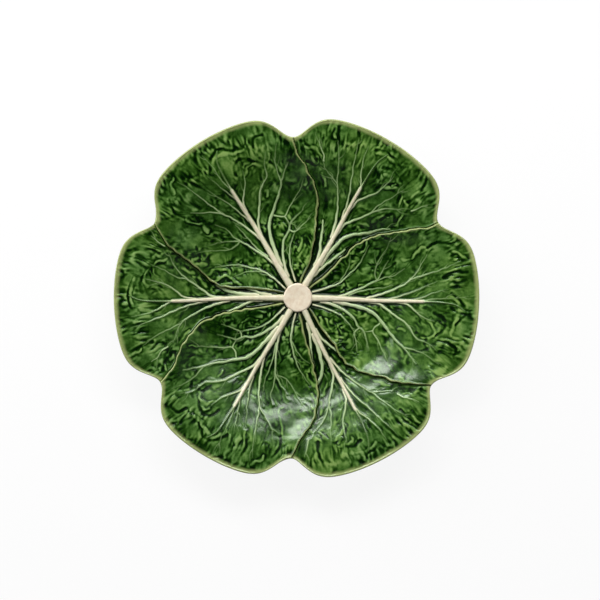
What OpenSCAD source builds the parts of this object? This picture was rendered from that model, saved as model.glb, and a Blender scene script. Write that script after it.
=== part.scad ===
// Cabbage plate: glazed earthenware, moulded as six overlapping leaves round a cut stem.
// Lengths are millimetres, angles are degrees. The plate stands on z = 0 with the stem on
// the z axis. Leaves are numbered counterclockwise from the right: even ones lie on top,
// and the odd ones between them tuck their sides under.

/* [Plate] */
// Width across the rim, from the right leaf to the left one
plate_w = 265; // [235:1:320]
// Height from the table to the crest of the rim
plate_h = 30; // [25:0.5:42]
// Width of the flat middle of the well
well_d = 112; // [90:1:130]
// Width of the bend from the well to the wall
well_bend_w = 18; // [8:1:24]
// Width of the band at the rim where the wall flattens
rim_band_w = 30; // [24:1:36]
// Width of the bend from the wall to the rim
rim_bend_w = 18; // [8:1:22]
// Thickness of the shell under the leaves, in the well
shell_t = 3.5; // [2.5:0.1:6]
// Thickness of the shell under the leaves, at the rim
shell_rim_t = 2; // [1.5:0.1:3]
// How far the leaves overhang the shell at the rim
overhang = 1.5; // [0.5:0.1:4]

/* [Foot ring] */
// Diameter of the foot ring at the middle of its width
foot_d = 136; // [110:1:150]
// Width of the foot ring
foot_w = 5; // [3:0.5:9]
// Height of the foot ring below the well
foot_h = 3.5; // [2:0.5:7]
// Radius of the foot ring's lower edges
foot_round = 1; // [0.3:0.1:1.4]

/* [Leaves] */
// Thickness of a leaf
leaf_t = 2.8; // [2:0.1:5]
// How far an upper leaf's side edges stand up over its neighbours
edge_lift = 2; // [0.5:0.1:4]
// How far a lower leaf dips under its neighbours' edges
edge_dip = 0.8; // [0:0.1:1.2]
// Width of the lifted or dipped strip along a side edge
edge_strip_w = 6; // [3:0.5:12]
// Height of the waves along the rim
frill_h = 0.8; // [0:0.1:2]
// How far the rim steps in where two leaves meet
notch_depth = 16; // [8:0.5:22]
// Half width of such a notch, along the rim
notch_w = 16.5; // [10:0.5:20]
// How far the rim sinks at a notch
notch_sink = 1.2; // [0:0.1:2]

/* [Cut stem] */
// Diameter of the cut stem
stem_d = 21.5; // [14:0.5:30]
// Height of the stem's edge above the leaves
stem_proud = 2.6; // [1:0.1:5]
// Radius of the stem's upper edge
stem_round = 1.2; // [0.4:0.1:2]
// Depth of the hollow in the cut
stem_hollow = 0.6; // [0.1:0.1:1.5]

/* [Midribs] */
// Width of a midrib at the stem
rib_w = 5.6; // [3:0.1:8]
// Width of a midrib at its tip
rib_tip_w = 2; // [1:0.1:4]
// Height of a midrib at the stem
rib_h = 2.2; // [1:0.1:4]
// Height of a midrib at its tip
rib_tip_h = 0.9; // [0.4:0.1:2]

/* [Side veins] */
// Width of a side vein where it leaves the midrib
vein_w = 1.7; // [1:0.1:2.4]
// Width of a side vein at its tip
vein_tip_w = 0.7; // [0.4:0.1:1.4]
// Height of a side vein where it leaves the midrib
vein_h = 1; // [0.5:0.1:2]
// Height of a side vein at its tip
vein_tip_h = 0.5; // [0.3:0.1:1]

/* [Clearances] */
// Joint between a piece and the one that carries it
slip_joint = 0.2; // [0.15:0.05:0.4]
// Gap between pieces that stand side by side
side_gap = 0.3; // [0.2:0.05:0.6]

/* [Hidden] */

plate_r = plate_w / 2;
stem_r = stem_d / 2;
// Radius at which the leaves and midribs start
inner_r = stem_r + side_gap;
foot_r = foot_d / 2;

// The way each leaf points, and how far it reaches as a share of the plate's radius
leaf_angles = [-2, 60, 121.5, 181.5, 239.5, 297];
reach_shares = [0.993, 0.996, 1.006, 1.007, 1.006, 1.001];

// Six edges where an upper leaf lies over a lower one, as [along, across] shares of the
// plate's radius, measured along the upper leaf's own axis. Edge k parts leaf k from leaf
// k + 1, and its last point is the notch in the rim.
edge_shares = [
    [[0.065, 0.065], [0.13, 0.115], [0.20, 0.19], [0.29, 0.29], [0.37, 0.34],
     [0.48, 0.37], [0.58, 0.39], [0.70, 0.405], [0.75, 0.435]],
    [[0.065, -0.065], [0.12, -0.15], [0.22, -0.235], [0.32, -0.32], [0.42, -0.39],
     [0.55, -0.41], [0.68, -0.41], [0.76, -0.435]],
    [[0.065, 0.06], [0.16, 0.175], [0.20, 0.22], [0.23, 0.28], [0.27, 0.335],
     [0.33, 0.36], [0.46, 0.40], [0.60, 0.455], [0.775, 0.455]],
    [[0.065, -0.06], [0.13, -0.13], [0.20, -0.22], [0.30, -0.33], [0.40, -0.395],
     [0.54, -0.415], [0.67, -0.395], [0.775, -0.41]],
    [[0.07, 0.06], [0.16, 0.14], [0.25, 0.24], [0.35, 0.335], [0.45, 0.395],
     [0.55, 0.42], [0.65, 0.405], [0.79, 0.415]],
    [[0.065, -0.065], [0.12, -0.15], [0.20, -0.25], [0.26, -0.34], [0.35, -0.40],
     [0.45, -0.415], [0.56, -0.445], [0.745, -0.45]],
];

// Midribs, as [along, across] shares of the plate's radius, one for each kind of leaf
upper_rib_shares = [
    [0.085, 0], [0.20, 0.002], [0.32, 0], [0.44, -0.002], [0.56, 0], [0.68, 0.002],
    [0.78, 0], [0.86, -0.01], [0.91, -0.04],
];
lower_rib_shares = [
    [0.085, 0], [0.20, -0.004], [0.32, -0.006], [0.44, -0.004], [0.56, 0], [0.68, 0.002],
    [0.78, 0], [0.86, -0.008], [0.92, -0.035],
];

// Side veins of each kind of leaf, listed from the stem outwards. Each one has the side of
// the midrib that it grows from, 1 for left and -1 for right, with the place along the
// midrib, or 0 for a branch that stands by itself; then its other points, in the same shares.
upper_vein_shares = [
    [1, 0.12, [[0.20, 0.07], [0.25, 0.10], [0.30, 0.15], [0.34, 0.20], [0.38, 0.30]]],
    [1, 0.24, [[0.36, 0.07], [0.46, 0.15], [0.52, 0.22]]],
    [1, 0.42, [[0.52, 0.065], [0.61, 0.115], [0.67, 0.20], [0.72, 0.26]]],
    [1, 0.54, [[0.62, 0.045], [0.72, 0.10], [0.82, 0.19]]],
    [1, 0.66, [[0.74, 0.05], [0.84, 0.10]]],
    [0, 0, [[0.44, 0.19], [0.46, 0.25], [0.51, 0.33], [0.58, 0.36]]],
    [-1, 0.10, [[0.17, -0.07], [0.25, -0.13], [0.31, -0.185]]],
    [-1, 0.18, [[0.29, -0.09], [0.36, -0.175], [0.40, -0.28]]],
    [-1, 0.26, [[0.40, -0.06], [0.48, -0.135], [0.58, -0.25], [0.68, -0.34]]],
    [0, 0, [[0.43, -0.15], [0.46, -0.24], [0.52, -0.32], [0.60, -0.38]]],
    [-1, 0.44, [[0.54, -0.085], [0.63, -0.15], [0.69, -0.22], [0.77, -0.25]]],
    [-1, 0.60, [[0.68, -0.07], [0.76, -0.12], [0.86, -0.16]]],
];
lower_vein_shares = [
    [1, 0.43, [[0.50, 0.05], [0.58, 0.09], [0.64, 0.13], [0.70, 0.23], [0.79, 0.31]]],
    [0, 0, [[0.69, 0.15], [0.77, 0.19], [0.85, 0.27]]],
    [1, 0.56, [[0.66, 0.055], [0.78, 0.10], [0.91, 0.15]]],
    [1, 0.69, [[0.78, 0.05], [0.90, 0.085]]],
    [-1, 0.30, [[0.39, -0.045], [0.47, -0.075]]],
    [-1, 0.46, [[0.56, -0.075], [0.65, -0.145], [0.71, -0.24], [0.76, -0.32]]],
    [-1, 0.61, [[0.70, -0.075], [0.80, -0.12], [0.88, -0.19]]],
];

// Half section of a raised vein, from one foot over the crown to the other, as shares of
// half its width and of its height
ridge_shares = [[-1, 0], [-0.65, 0.75], [0, 1], [0.65, 0.75], [1, 0]];

// Part of a rim circle's radius over which an edge's direction is evened out
edge_blend_share = 0.02;
// Slope of the rim as a share of the wall's
rim_slope_share = 0.3;
// Part of the radius, next to the stem and next to the rim, over which the lifted edges settle
settle_share = 0.25;
// Where the tables above meet the stem's edge, as a share of the plate's radius
stem_share = 0.085;
// Waves along the rim of one leaf
frill_waves = 3;
// How steeply the rim's waves and sinks die out towards the well
rim_fade_power = 6;

radial_steps = 20;
across_steps = 18;
profile_steps = 6;
outline_steps = 120;
round_steps = 5;
curve_steps = 3;

// Integral of a slope that grows from 0 to 1 between two radii
function slope_run(r, from, to) =
    r <= from ? 0 : r >= to ? (to - from) / 2 + r - to : (r - from) ^ 2 / (2 * (to - from));

well_r = well_d / 2;
wall_r = well_r + well_bend_w;
rim_in_r = plate_r - rim_band_w;
rim_out_r = rim_in_r + rim_bend_w;
// Height of the shell's upper face, where the leaves lie, in the middle of the plate
bed_z = foot_h + shell_t;
rise = plate_h - bed_z - slip_joint - leaf_t - frill_h;
wall_slope = rise / (slope_run(plate_r, well_r, wall_r)
    - (1 - rim_slope_share) * slope_run(plate_r, rim_in_r, rim_out_r));

// Height of the shell's upper face
function bed(r) = bed_z + wall_slope * slope_run(r, well_r, wall_r)
    - (1 - rim_slope_share) * wall_slope * slope_run(r, rim_in_r, rim_out_r);
// Height of the shell's underside
function under(r) = bed(r) - shell_t
    + (shell_t - shell_rim_t) * max(0, r - well_r) / (plate_r - well_r);

function polar(r, a) = [r * cos(a), r * sin(a)];
function is_upper(k) = k % 2 == 0;
function side_angle(a, centre) = (a - centre + 540) % 360 - 180;

// Each edge as a table of radius and angle
edge_tables = [for (k = [0:5])
    let (axis = leaf_angles[is_upper(k) ? k : (k + 1) % 6])
    [for (p = edge_shares[k]) [norm(p) * plate_r, atan2(p.y, p.x) + axis]]];
// Direction of an edge at a radius. It keeps clear of the lower leaf's midrib.
function edge_angle(k, r) =
    let (
        blend = edge_blend_share * plate_r,
        a = (lookup(r - blend, edge_tables[k]) + lookup(r, edge_tables[k])
            + lookup(r + blend, edge_tables[k])) / 3,
        lower_axis = leaf_angles[is_upper(k) ? k + 1 : k],
        side = side_angle(a, lower_axis),
        clear = asin(min(1, (rib_w / 2 + side_gap) / r))
    )
    a - side + sign(side) * max(abs(side), clear);
notch_angles = [for (t = edge_tables) t[len(t) - 1][1]];

// Angles of a leaf's two side edges, measured from its own axis
function left_side(k, r) = side_angle(edge_angle(k, r), leaf_angles[k]);
function right_side(k, r) = side_angle(edge_angle((k + 5) % 6, r), leaf_angles[k]);

// Closeness of a direction to the nearest notches, 1 at a notch and 0 far from it
function notch_shape(a) =
    let (half_angle = notch_w / plate_r * 180 / PI)
    max([for (n = notch_angles) exp(-(side_angle(a, n) / half_angle) ^ 2)]);
reach_table = [for (k = [-1:6])
    [leaf_angles[(k + 6) % 6] + 360 * floor(k / 6), reach_shares[(k + 6) % 6]]];
// Distance of the rim from the stem's centre
function rim(a) = plate_r * lookup((a + 360) % 360, reach_table) - notch_depth * notch_shape(a);

// Height of a leaf's upper face at a point of the plan
function leaf_top(k, p) =
    let (
        r = norm(p),
        a = side_angle(atan2(p.y, p.x), leaf_angles[k]),
        left = left_side(k, r),
        right = right_side(k, r),
        inset = min(left - a, a - right) * PI / 180 * r,
        strip = exp(-(inset / edge_strip_w) ^ 2),
        settle = min(1, max(0, min(plate_r - r, r - inner_r)) / (settle_share * plate_r)),
        rim_part = min(1, r / plate_r) ^ rim_fade_power,
        across_share = (a - right) / (left - right),
        frill = frill_h * (1 + cos(360 * frill_waves * across_share)) / 2 * rim_part,
        sink = notch_sink * notch_shape(a + leaf_angles[k]) * rim_part
    )
    bed(r) + slip_joint + leaf_t + frill - sink
        + (is_upper(k) ? edge_lift * settle : -edge_dip) * strip;

// Plan of a leaf: u runs from the stem to the rim and s from the right side to the left
function leaf_place(k, u, s) =
    let (
        rim_left = left_side(k, plate_r),
        rim_right = right_side(k, plate_r),
        rim_angle = rim_right + (rim_left - rim_right) * s,
        r = inner_r + u * (rim(rim_angle + leaf_angles[k]) - inner_r),
        margin = side_gap / 2 / r * 180 / PI,
        left = left_side(k, r) - margin,
        right = right_side(k, r) + margin
    )
    polar(r, leaf_angles[k] + right + (left - right) * s);

// Two triangles for one four-sided cell
function cell(a, b, c, d) = [[a, b, c], [a, c, d]];
function joined(lists) = [for (l = lists) each l];

module leaf(k, shade) {
    // Steps across the leaf crowd towards its sides, where the lifted edges are
    shares = [for (j = [0:across_steps]) (1 - cos(180 * j / across_steps)) / 2];
    plan = [for (i = [0:radial_steps]) for (s = shares) leaf_place(k, i / radial_steps, s)];
    n = across_steps + 1;
    half = len(plan);
    points = concat(
        [for (p = plan) [p.x, p.y, leaf_top(k, p)]],
        [for (p = plan) [p.x, p.y, bed(norm(p)) + slip_joint]]);
    last_row = radial_steps * n;
    faces = joined(concat(
        [for (i = [0:radial_steps - 1]) for (j = [0:across_steps - 1])
            let (a = i * n + j) cell(a, a + 1, a + n + 1, a + n)],
        [for (i = [0:radial_steps - 1]) for (j = [0:across_steps - 1])
            let (a = half + i * n + j) cell(a + n, a + n + 1, a + 1, a)],
        [for (i = [0:radial_steps - 1]) let (a = i * n) cell(a, a + n, half + a + n, half + a)],
        [for (i = [0:radial_steps - 1]) let (a = i * n + across_steps)
            cell(a + n, a, half + a, half + a + n)],
        [for (j = [0:across_steps - 1]) cell(j + 1, j, half + j, half + j + 1)],
        [for (j = [0:across_steps - 1]) let (a = last_row + j)
            cell(a, a + 1, half + a + 1, half + a)]));
    color(shade) polyhedron(points, faces);
}

// Smooth curve through the points of a list
function curve(p) =
    let (n = len(p) - 1)
    concat([for (i = [0:n - 1]) for (j = [0:curve_steps - 1])
        let (
            t = j / curve_steps,
            before = p[max(0, i - 1)],
            after = p[min(n, i + 2)]
        )
        (2 * p[i] + (p[i + 1] - before) * t
            + (2 * before - 5 * p[i] + 4 * p[i + 1] - after) * t ^ 2
            + (3 * p[i] - before - 3 * p[i + 1] + after) * t ^ 3) / 2], [p[n]]);

// Place of a leaf's own [along, across] share on the plan
function on_leaf(k, p) =
    polar(inner_r + (norm(p) - stem_share) / (1 - stem_share) * (plate_r - inner_r),
        leaf_angles[k] + atan2(p.y, p.x));
function rib_shares(k) = is_upper(k) ? upper_rib_shares : lower_rib_shares;
function rib_line(k) = curve([for (p = rib_shares(k)) on_leaf(k, p)]);
// Half the width of a midrib, at a share of the way to its tip
function rib_half_w(share) = (rib_w + (rib_tip_w - rib_w) * share) / 2;

// A vein's line: one that grows from the midrib starts just beside it
function vein_line(k, v) =
    let (
        tip_share = rib_shares(k)[len(rib_shares(k)) - 1].x,
        beside = rib_half_w(v[1] / tip_share) + vein_w / 2 + side_gap,
        turn = [-sin(leaf_angles[k]), cos(leaf_angles[k])],
        root = on_leaf(k, [v[1], lookup(v[1], rib_shares(k))]) + turn * v[0] * beside
    )
    curve(concat(v[0] == 0 ? [] : [root], [for (p = v[2]) on_leaf(k, p)]));

// Points of a ridge that lies on leaf k along a line, narrowing and sinking to its tip
function ridge_points(k, line, width, tip_width, height, tip_height) =
    [for (i = [0:len(line) - 1])
        let (
            share = i / (len(line) - 1),
            half_w = (width + (tip_width - width) * share) / 2,
            h = height + (tip_height - height) * share,
            ahead = line[min(len(line) - 1, i + 1)] - line[max(0, i - 1)],
            side = [-ahead.y, ahead.x] / norm(ahead)
        )
        for (q = ridge_shares)
            let (p = line[i] + side * q.x * half_w)
            [p.x, p.y, leaf_top(k, p) + slip_joint + q.y * h]];

// Faces of a ridge whose points start at number f
function ridge_faces(f, rings) =
    let (m = len(ridge_shares), e = f + (rings - 1) * m)
    concat(
        joined([for (i = [0:rings - 2]) for (j = [0:m - 1])
            let (a = f + i * m, b = (j + 1) % m) cell(a + j, a + b, a + m + b, a + m + j)]),
        [for (j = [1:m - 2]) [f, f + j + 1, f + j]],
        [for (j = [1:m - 2]) [e, e + j, e + j + 1]]);

module midrib(k) {
    line = rib_line(k);
    color("#e3d4c1") polyhedron(
        ridge_points(k, line, rib_w, rib_tip_w, rib_h, rib_tip_h),
        ridge_faces(0, len(line)));
}

module side_veins(k) {
    lines = [for (v = is_upper(k) ? upper_vein_shares : lower_vein_shares) vein_line(k, v)];
    counts = [for (l = lines) len(l)];
    starts = [for (i = 0, f = 0; i < len(lines); f = f + counts[i], i = i + 1) f];
    color("#b6c98f") polyhedron(
        joined([for (l = lines) ridge_points(k, l, vein_w, vein_tip_w, vein_h, vein_tip_h)]),
        joined([for (i = [0:len(lines) - 1])
            ridge_faces(starts[i] * len(ridge_shares), counts[i])]));
}

// Quarter circle of points round a centre, from one angle to another
function arc(centre, radius, from, to) =
    [for (i = [0:round_steps]) centre + polar(radius, from + (to - from) * i / round_steps)];

module dish_body() {
    // The profile runs past the rim, where the outline then trims it
    past_rim_r = plate_r * max(reach_shares) + overhang;
    inner = [for (i = [0:profile_steps]) well_r + well_bend_w * i / profile_steps];
    outer = [for (i = [0:profile_steps]) rim_in_r + rim_bend_w * i / profile_steps];
    radii = concat([0], inner, outer, [past_rim_r]);
    n = len(radii) - 1;
    color("#3f5f2a") intersection() {
        rotate_extrude($fn = 96) polygon(concat(
            [for (r = radii) [r, under(r)]],
            [for (i = [n:-1:0]) [radii[i], bed(radii[i])]]));
        linear_extrude(height = plate_h) polygon(
            [for (i = [0:outline_steps - 1])
                let (a = 360 * i / outline_steps) polar(rim(a) - overhang, a)]);
    }
}

module foot_ring() {
    inner = foot_r - foot_w / 2;
    outer = foot_r + foot_w / 2;
    crown = [for (i = [profile_steps:-1:0])
        let (r = inner + foot_w * i / profile_steps) [r, under(r) - slip_joint]];
    color("#48682f") rotate_extrude($fn = 96) polygon(concat(
        arc([inner + foot_round, foot_round], foot_round, 180, 270),
        arc([outer - foot_round, foot_round], foot_round, 270, 360),
        crown));
}

module cut_stem() {
    foot = bed_z + slip_joint;
    top = foot + leaf_t + stem_proud;
    floor_r = stem_r - 2 * stem_round;
    color("#e6d8c3") rotate_extrude($fn = 72) polygon(concat(
        [[0, foot], [stem_r, foot]],
        arc([stem_r - stem_round, top - stem_round], stem_round, 0, 90),
        [[floor_r, top], [floor_r / 2, top - stem_hollow], [0, top - stem_hollow]]));
}

module leaf_right() { leaf(0, "#4f7a37"); }
module leaf_upper_right() { leaf(1, "#41682d"); }
module leaf_upper_left() { leaf(2, "#4a7333"); }
module leaf_left() { leaf(3, "#3c6229"); }
module leaf_lower_left() { leaf(4, "#4c7635"); }
module leaf_lower_right() { leaf(5, "#44702f"); }

module midrib_right() { midrib(0); }
module midrib_upper_right() { midrib(1); }
module midrib_upper_left() { midrib(2); }
module midrib_left() { midrib(3); }
module midrib_lower_left() { midrib(4); }
module midrib_lower_right() { midrib(5); }

module side_veins_right() { side_veins(0); }
module side_veins_upper_right() { side_veins(1); }
module side_veins_upper_left() { side_veins(2); }
module side_veins_left() { side_veins(3); }
module side_veins_lower_left() { side_veins(4); }
module side_veins_lower_right() { side_veins(5); }

dish_body();
foot_ring();
cut_stem();
leaf_right();
leaf_upper_right();
leaf_upper_left();
leaf_left();
leaf_lower_left();
leaf_lower_right();
midrib_right();
midrib_upper_right();
midrib_upper_left();
midrib_left();
midrib_lower_left();
midrib_lower_right();
side_veins_right();
side_veins_upper_right();
side_veins_upper_left();
side_veins_left();
side_veins_lower_left();
side_veins_lower_right();
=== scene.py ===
"""Looks of the cabbage plate: six glazed leaves with midribs round a cut stem, on a footed dish.

Shape sums are in millimetres, in the plate's own frame, and become metres when a mesh is
written. Directions in the plan are degrees, counterclockwise from +X.
"""

import logging
import math
from abc import ABC, abstractmethod
from dataclasses import dataclass
from enum import Enum, IntEnum
from typing import NamedTuple

import bmesh
import bpy
import numpy as np
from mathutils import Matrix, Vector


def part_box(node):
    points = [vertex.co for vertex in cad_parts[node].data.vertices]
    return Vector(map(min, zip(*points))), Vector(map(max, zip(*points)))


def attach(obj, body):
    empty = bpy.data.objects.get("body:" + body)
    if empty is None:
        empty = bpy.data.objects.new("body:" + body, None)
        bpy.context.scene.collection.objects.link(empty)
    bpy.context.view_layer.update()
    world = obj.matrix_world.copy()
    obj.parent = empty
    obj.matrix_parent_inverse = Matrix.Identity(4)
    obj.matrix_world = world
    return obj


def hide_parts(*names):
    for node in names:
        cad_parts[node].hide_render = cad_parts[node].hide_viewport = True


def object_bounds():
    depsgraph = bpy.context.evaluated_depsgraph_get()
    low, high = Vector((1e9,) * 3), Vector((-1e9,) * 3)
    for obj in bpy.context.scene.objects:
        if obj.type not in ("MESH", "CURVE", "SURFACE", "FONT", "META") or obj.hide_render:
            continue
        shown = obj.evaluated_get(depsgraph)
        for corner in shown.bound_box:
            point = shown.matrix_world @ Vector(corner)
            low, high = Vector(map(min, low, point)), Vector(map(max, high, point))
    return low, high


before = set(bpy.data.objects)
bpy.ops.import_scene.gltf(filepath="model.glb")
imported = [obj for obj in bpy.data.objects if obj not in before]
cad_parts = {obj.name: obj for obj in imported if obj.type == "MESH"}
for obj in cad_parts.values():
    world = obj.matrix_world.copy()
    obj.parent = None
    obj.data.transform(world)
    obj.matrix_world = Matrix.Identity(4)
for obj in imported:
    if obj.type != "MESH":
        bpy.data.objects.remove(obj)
CAD_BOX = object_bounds()

MM = 0.001
ROOT_BODY = "root"
GLAZE_IOR = 1.5
CLAY_GLOSS = 0.32
LOG = logging.getLogger("plate")

Array = np.ndarray
Point = tuple[float, float]
Colour = tuple[float, float, float]
Mesh = bmesh.types.BMesh
Edges = list[bmesh.types.BMEdge]
Body = bpy.types.Object
Material = bpy.types.Material
Socket = bpy.types.NodeSocket
Feed = Socket | Colour | float

WHITE: Colour = (1.0, 1.0, 1.0)


def srgb(red: int, green: int, blue: int) -> Colour:
    """Turns a screen colour, each part from 0 to 255, into scene-linear values from 0 to 1."""
    parts = [c / 255 for c in (red, green, blue)]
    return tuple(c / 12.92 if c <= 0.04045 else ((c + 0.055) / 1.055) ** 2.4 for c in parts)


def smooth_step(value: Array, low: float, high: float) -> Array:
    """Rises smoothly from 0 at low to 1 at high."""
    t = np.clip((value - low) / (high - low), 0, 1)
    return t * t * (3 - 2 * t)


def bell(value: Array, width: float | Array) -> Array:
    """Gives a bell curve, 1 at zero and about a third at one width away."""
    return np.exp(-((value / width) ** 2))


def peak(value: Array, spot: Point) -> Array:
    """Gives a bell curve that is 1 at the spot's place, and as wide as the spot says."""
    return bell(value - spot[0], spot[1])


def turn_from(angle: Array | float, centre: Array | float) -> Array:
    """Gives how far a direction is turned from another, from -180 to 180 degrees."""
    return (np.asarray(angle) - centre + 540) % 360 - 180


class Seed(IntEnum):
    """Numbers that the grains of single pieces start from."""

    STEM_EDGE = 5
    STEM_CUT = 6
    RIB_SWELL = 60
    RIB_KNOTS = 70
    SHELL_RIPPLE = 77
    RIB_GREEN = 80
    LEAF_EDGE = 90


@dataclass(frozen=True)
class Grain:
    """Smooth random hills over the plan, about one unit across, from -1 to 1."""

    seed: int
    size: int = 256

    def at(self, x: Array, y: Array) -> Array:
        """Reads the hills.

        Args:
            x: First coordinates, in hill widths.
            y: Second coordinates, in hill widths.

        Returns:
            The height of the hills at each place.
        """
        rng = np.random.default_rng(self.seed)
        order = rng.permutation(self.size)
        turn = rng.random(self.size) * 2 * math.pi
        x0, y0 = np.floor(x).astype(int), np.floor(y).astype(int)
        fx, fy = x - x0, y - y0
        wx, wy = (f * f * f * (f * (f * 6 - 15) + 10) for f in (fx, fy))

        def corner(i: int, j: int) -> Array:
            """Gives the slope's share from one corner of the cell."""
            key = order[(order[(x0 + i) % self.size] + y0 + j) % self.size]
            return np.cos(turn[key]) * (fx - i) + np.sin(turn[key]) * (fy - j)

        low = corner(0, 0) * (1 - wx) + corner(1, 0) * wx
        high = corner(0, 1) * (1 - wx) + corner(1, 1) * wx
        return (low * (1 - wy) + high * wy) * 1.5


class Kind(Enum):
    """Where a leaf lies in the whorl."""

    UPPER = "upper"
    LOWER = "lower"


@dataclass(frozen=True)
class PlateForm:
    """Sizes of the whole plate, in millimetres, and the surfaces that every piece follows."""

    width: float = 265.0
    height: float = 30.0
    well_d: float = 112.0
    well_bend_w: float = 18.0
    rim_band_w: float = 30.0
    rim_bend_w: float = 18.0
    shell_t: float = 3.5
    shell_rim_t: float = 2.0
    foot_h: float = 3.5
    leaf_t: float = 2.8
    edge_lift: float = 2.0
    edge_dip: float = 0.8
    edge_strip_w: float = 10.0
    frill_h: float = 0.8
    notch_depth: float = 16.0
    notch_w: float = 16.5
    notch_sink: float = 1.2
    rib_w: float = 5.6
    slip_joint: float = 0.2
    side_gap: float = 0.3
    rim_slope_share: float = 0.3
    settle_share: float = 0.25
    crinkle: float = 1.1
    crinkle_w: Point = (5.2, 31.0)
    crinkle_start: Point = (0.2, 0.34)
    crinkle_end: Point = (0.74, 0.84)
    blend_share: float = 0.02
    frill_waves: int = 3
    rim_fade_power: int = 6
    leaf_angles: tuple[float, ...] = (-2, 60, 121.5, 181.5, 239.5, 297)
    reach_shares: tuple[float, ...] = (0.993, 0.996, 1.006, 1.007, 1.006, 1.001)
    rib_shares: tuple[float, ...] = (0.96, 0.95, 1.0, 0.95, 0.88, 0.82)
    edge_shares: tuple[tuple[Point, ...], ...] = (
        ((0.065, 0.065), (0.13, 0.115), (0.20, 0.19), (0.29, 0.29), (0.37, 0.34),
         (0.48, 0.37), (0.58, 0.39), (0.70, 0.405), (0.75, 0.435)),
        ((0.065, -0.065), (0.12, -0.15), (0.22, -0.235), (0.32, -0.32), (0.42, -0.39),
         (0.55, -0.41), (0.68, -0.41), (0.76, -0.435)),
        ((0.065, 0.06), (0.16, 0.175), (0.20, 0.22), (0.23, 0.28), (0.27, 0.335),
         (0.33, 0.36), (0.46, 0.40), (0.60, 0.455), (0.775, 0.455)),
        ((0.065, -0.06), (0.13, -0.13), (0.20, -0.22), (0.30, -0.33), (0.40, -0.395),
         (0.54, -0.415), (0.67, -0.395), (0.775, -0.41)),
        ((0.07, 0.06), (0.16, 0.14), (0.25, 0.24), (0.35, 0.335), (0.45, 0.395),
         (0.55, 0.42), (0.65, 0.405), (0.79, 0.415)),
        ((0.065, -0.065), (0.12, -0.15), (0.20, -0.25), (0.26, -0.34), (0.35, -0.40),
         (0.45, -0.415), (0.56, -0.445), (0.745, -0.45)),
    )

    @property
    def radius(self) -> float:
        """Half the plate's width."""
        return self.width / 2

    @property
    def inner_r(self) -> float:
        """Radius at which the leaves start, beside the stem's solid."""
        low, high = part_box("cut_stem")
        return (high[0] - low[0]) / 2 / MM + self.side_gap

    @property
    def bed_z(self) -> float:
        """Height of the dish under the leaves, in the middle."""
        return self.foot_h + self.shell_t

    def kind(self, leaf: int) -> Kind:
        """Tells whether a leaf lies on top or tucks under."""
        return Kind.LOWER if leaf % 2 else Kind.UPPER

    @staticmethod
    def slope_run(r: Array, start: float, bend_w: float) -> Array:
        """Integrates a slope that grows from 0 at a radius to 1 at the end of its bend."""
        inside = np.clip(r - start, 0, bend_w)
        return inside**2 / (2 * bend_w) + np.maximum(0, r - start - bend_w)

    @property
    def wall_slope(self) -> float:
        """Rise of the wall per millimetre outwards."""
        rise = self.height - self.bed_z - self.slip_joint - self.leaf_t - self.frill_h
        return rise / float(self.wall_run(np.array(self.radius)))

    def wall_run(self, r: Array) -> Array:
        """Integrates the wall's slope, which grows past the well and eases at the rim band."""
        rim = self.slope_run(r, self.radius - self.rim_band_w, self.rim_bend_w)
        return self.slope_run(r, self.well_d / 2, self.well_bend_w) - (1 - self.rim_slope_share) * rim

    def bed(self, r: Array) -> Array:
        """Gives the height of the dish's upper face."""
        return self.bed_z + self.wall_slope * self.wall_run(r)

    def under(self, r: Array) -> Array:
        """Gives the height of the dish's underside, which thins towards the rim."""
        outward = np.maximum(0, r - self.well_d / 2) / (self.radius - self.well_d / 2)
        return self.bed(r) - self.shell_t + (self.shell_t - self.shell_rim_t) * outward

    def axis(self, edge: int) -> float:
        """Gives the direction of the upper leaf that an edge belongs to."""
        return self.leaf_angles[edge if edge % 2 == 0 else (edge + 1) % 6]

    def edge_angle(self, edge: int, r: Array) -> Array:
        """Gives the direction of an edge between two leaves.

        Args:
            edge: Number of the edge, which parts that leaf from the next.
            r: Radii to read it at.

        Returns:
            The edge's direction at each radius.
        """
        points = np.array(self.edge_shares[edge])
        radii = np.hypot(points[:, 0], points[:, 1]) * self.radius
        angles = np.degrees(np.arctan2(points[:, 1], points[:, 0])) + self.axis(edge)
        blend = self.blend_share * self.radius
        mean = sum(np.interp(r + k * blend, radii, angles) for k in (-1, 0, 1)) / 3
        share = r / self.radius
        ends = smooth_step(share, *self.crinkle_start) * (1 - smooth_step(share, *self.crinkle_end))
        wave = Grain(Seed.LEAF_EDGE + edge).at(r / self.crinkle_w[0], r / self.crinkle_w[1])
        mean = mean + np.degrees(self.crinkle * ends * wave / r)
        side = turn_from(mean, self.leaf_angles[edge if edge % 2 else edge + 1])
        clear = np.degrees(np.arcsin(np.minimum(1, (self.rib_w / 2 + self.side_gap) / r)))
        return mean - side + np.sign(side) * np.maximum(np.abs(side), clear)

    def sides(self, leaf: int, r: Array) -> tuple[Array, Array]:
        """Gives the directions of a leaf's right and left edges, from its own axis."""
        centre = self.leaf_angles[leaf]
        return tuple(turn_from(self.edge_angle(edge, r), centre) for edge in ((leaf + 5) % 6, leaf))

    def notch_shape(self, angle: Array) -> Array:
        """Gives the share of a notch of the rim.

        Args:
            angle: Directions to read it at.

        Returns:
            1 at a notch and 0 far from all of them.
        """
        half = math.degrees(self.notch_w / self.radius)
        shapes = []
        for edge, shares in enumerate(self.edge_shares):
            along, across = shares[-1]
            notch = math.degrees(math.atan2(across, along)) + self.axis(edge)
            shapes.append(bell(turn_from(angle, notch), half))
        return np.max(shapes, axis=0)

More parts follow.
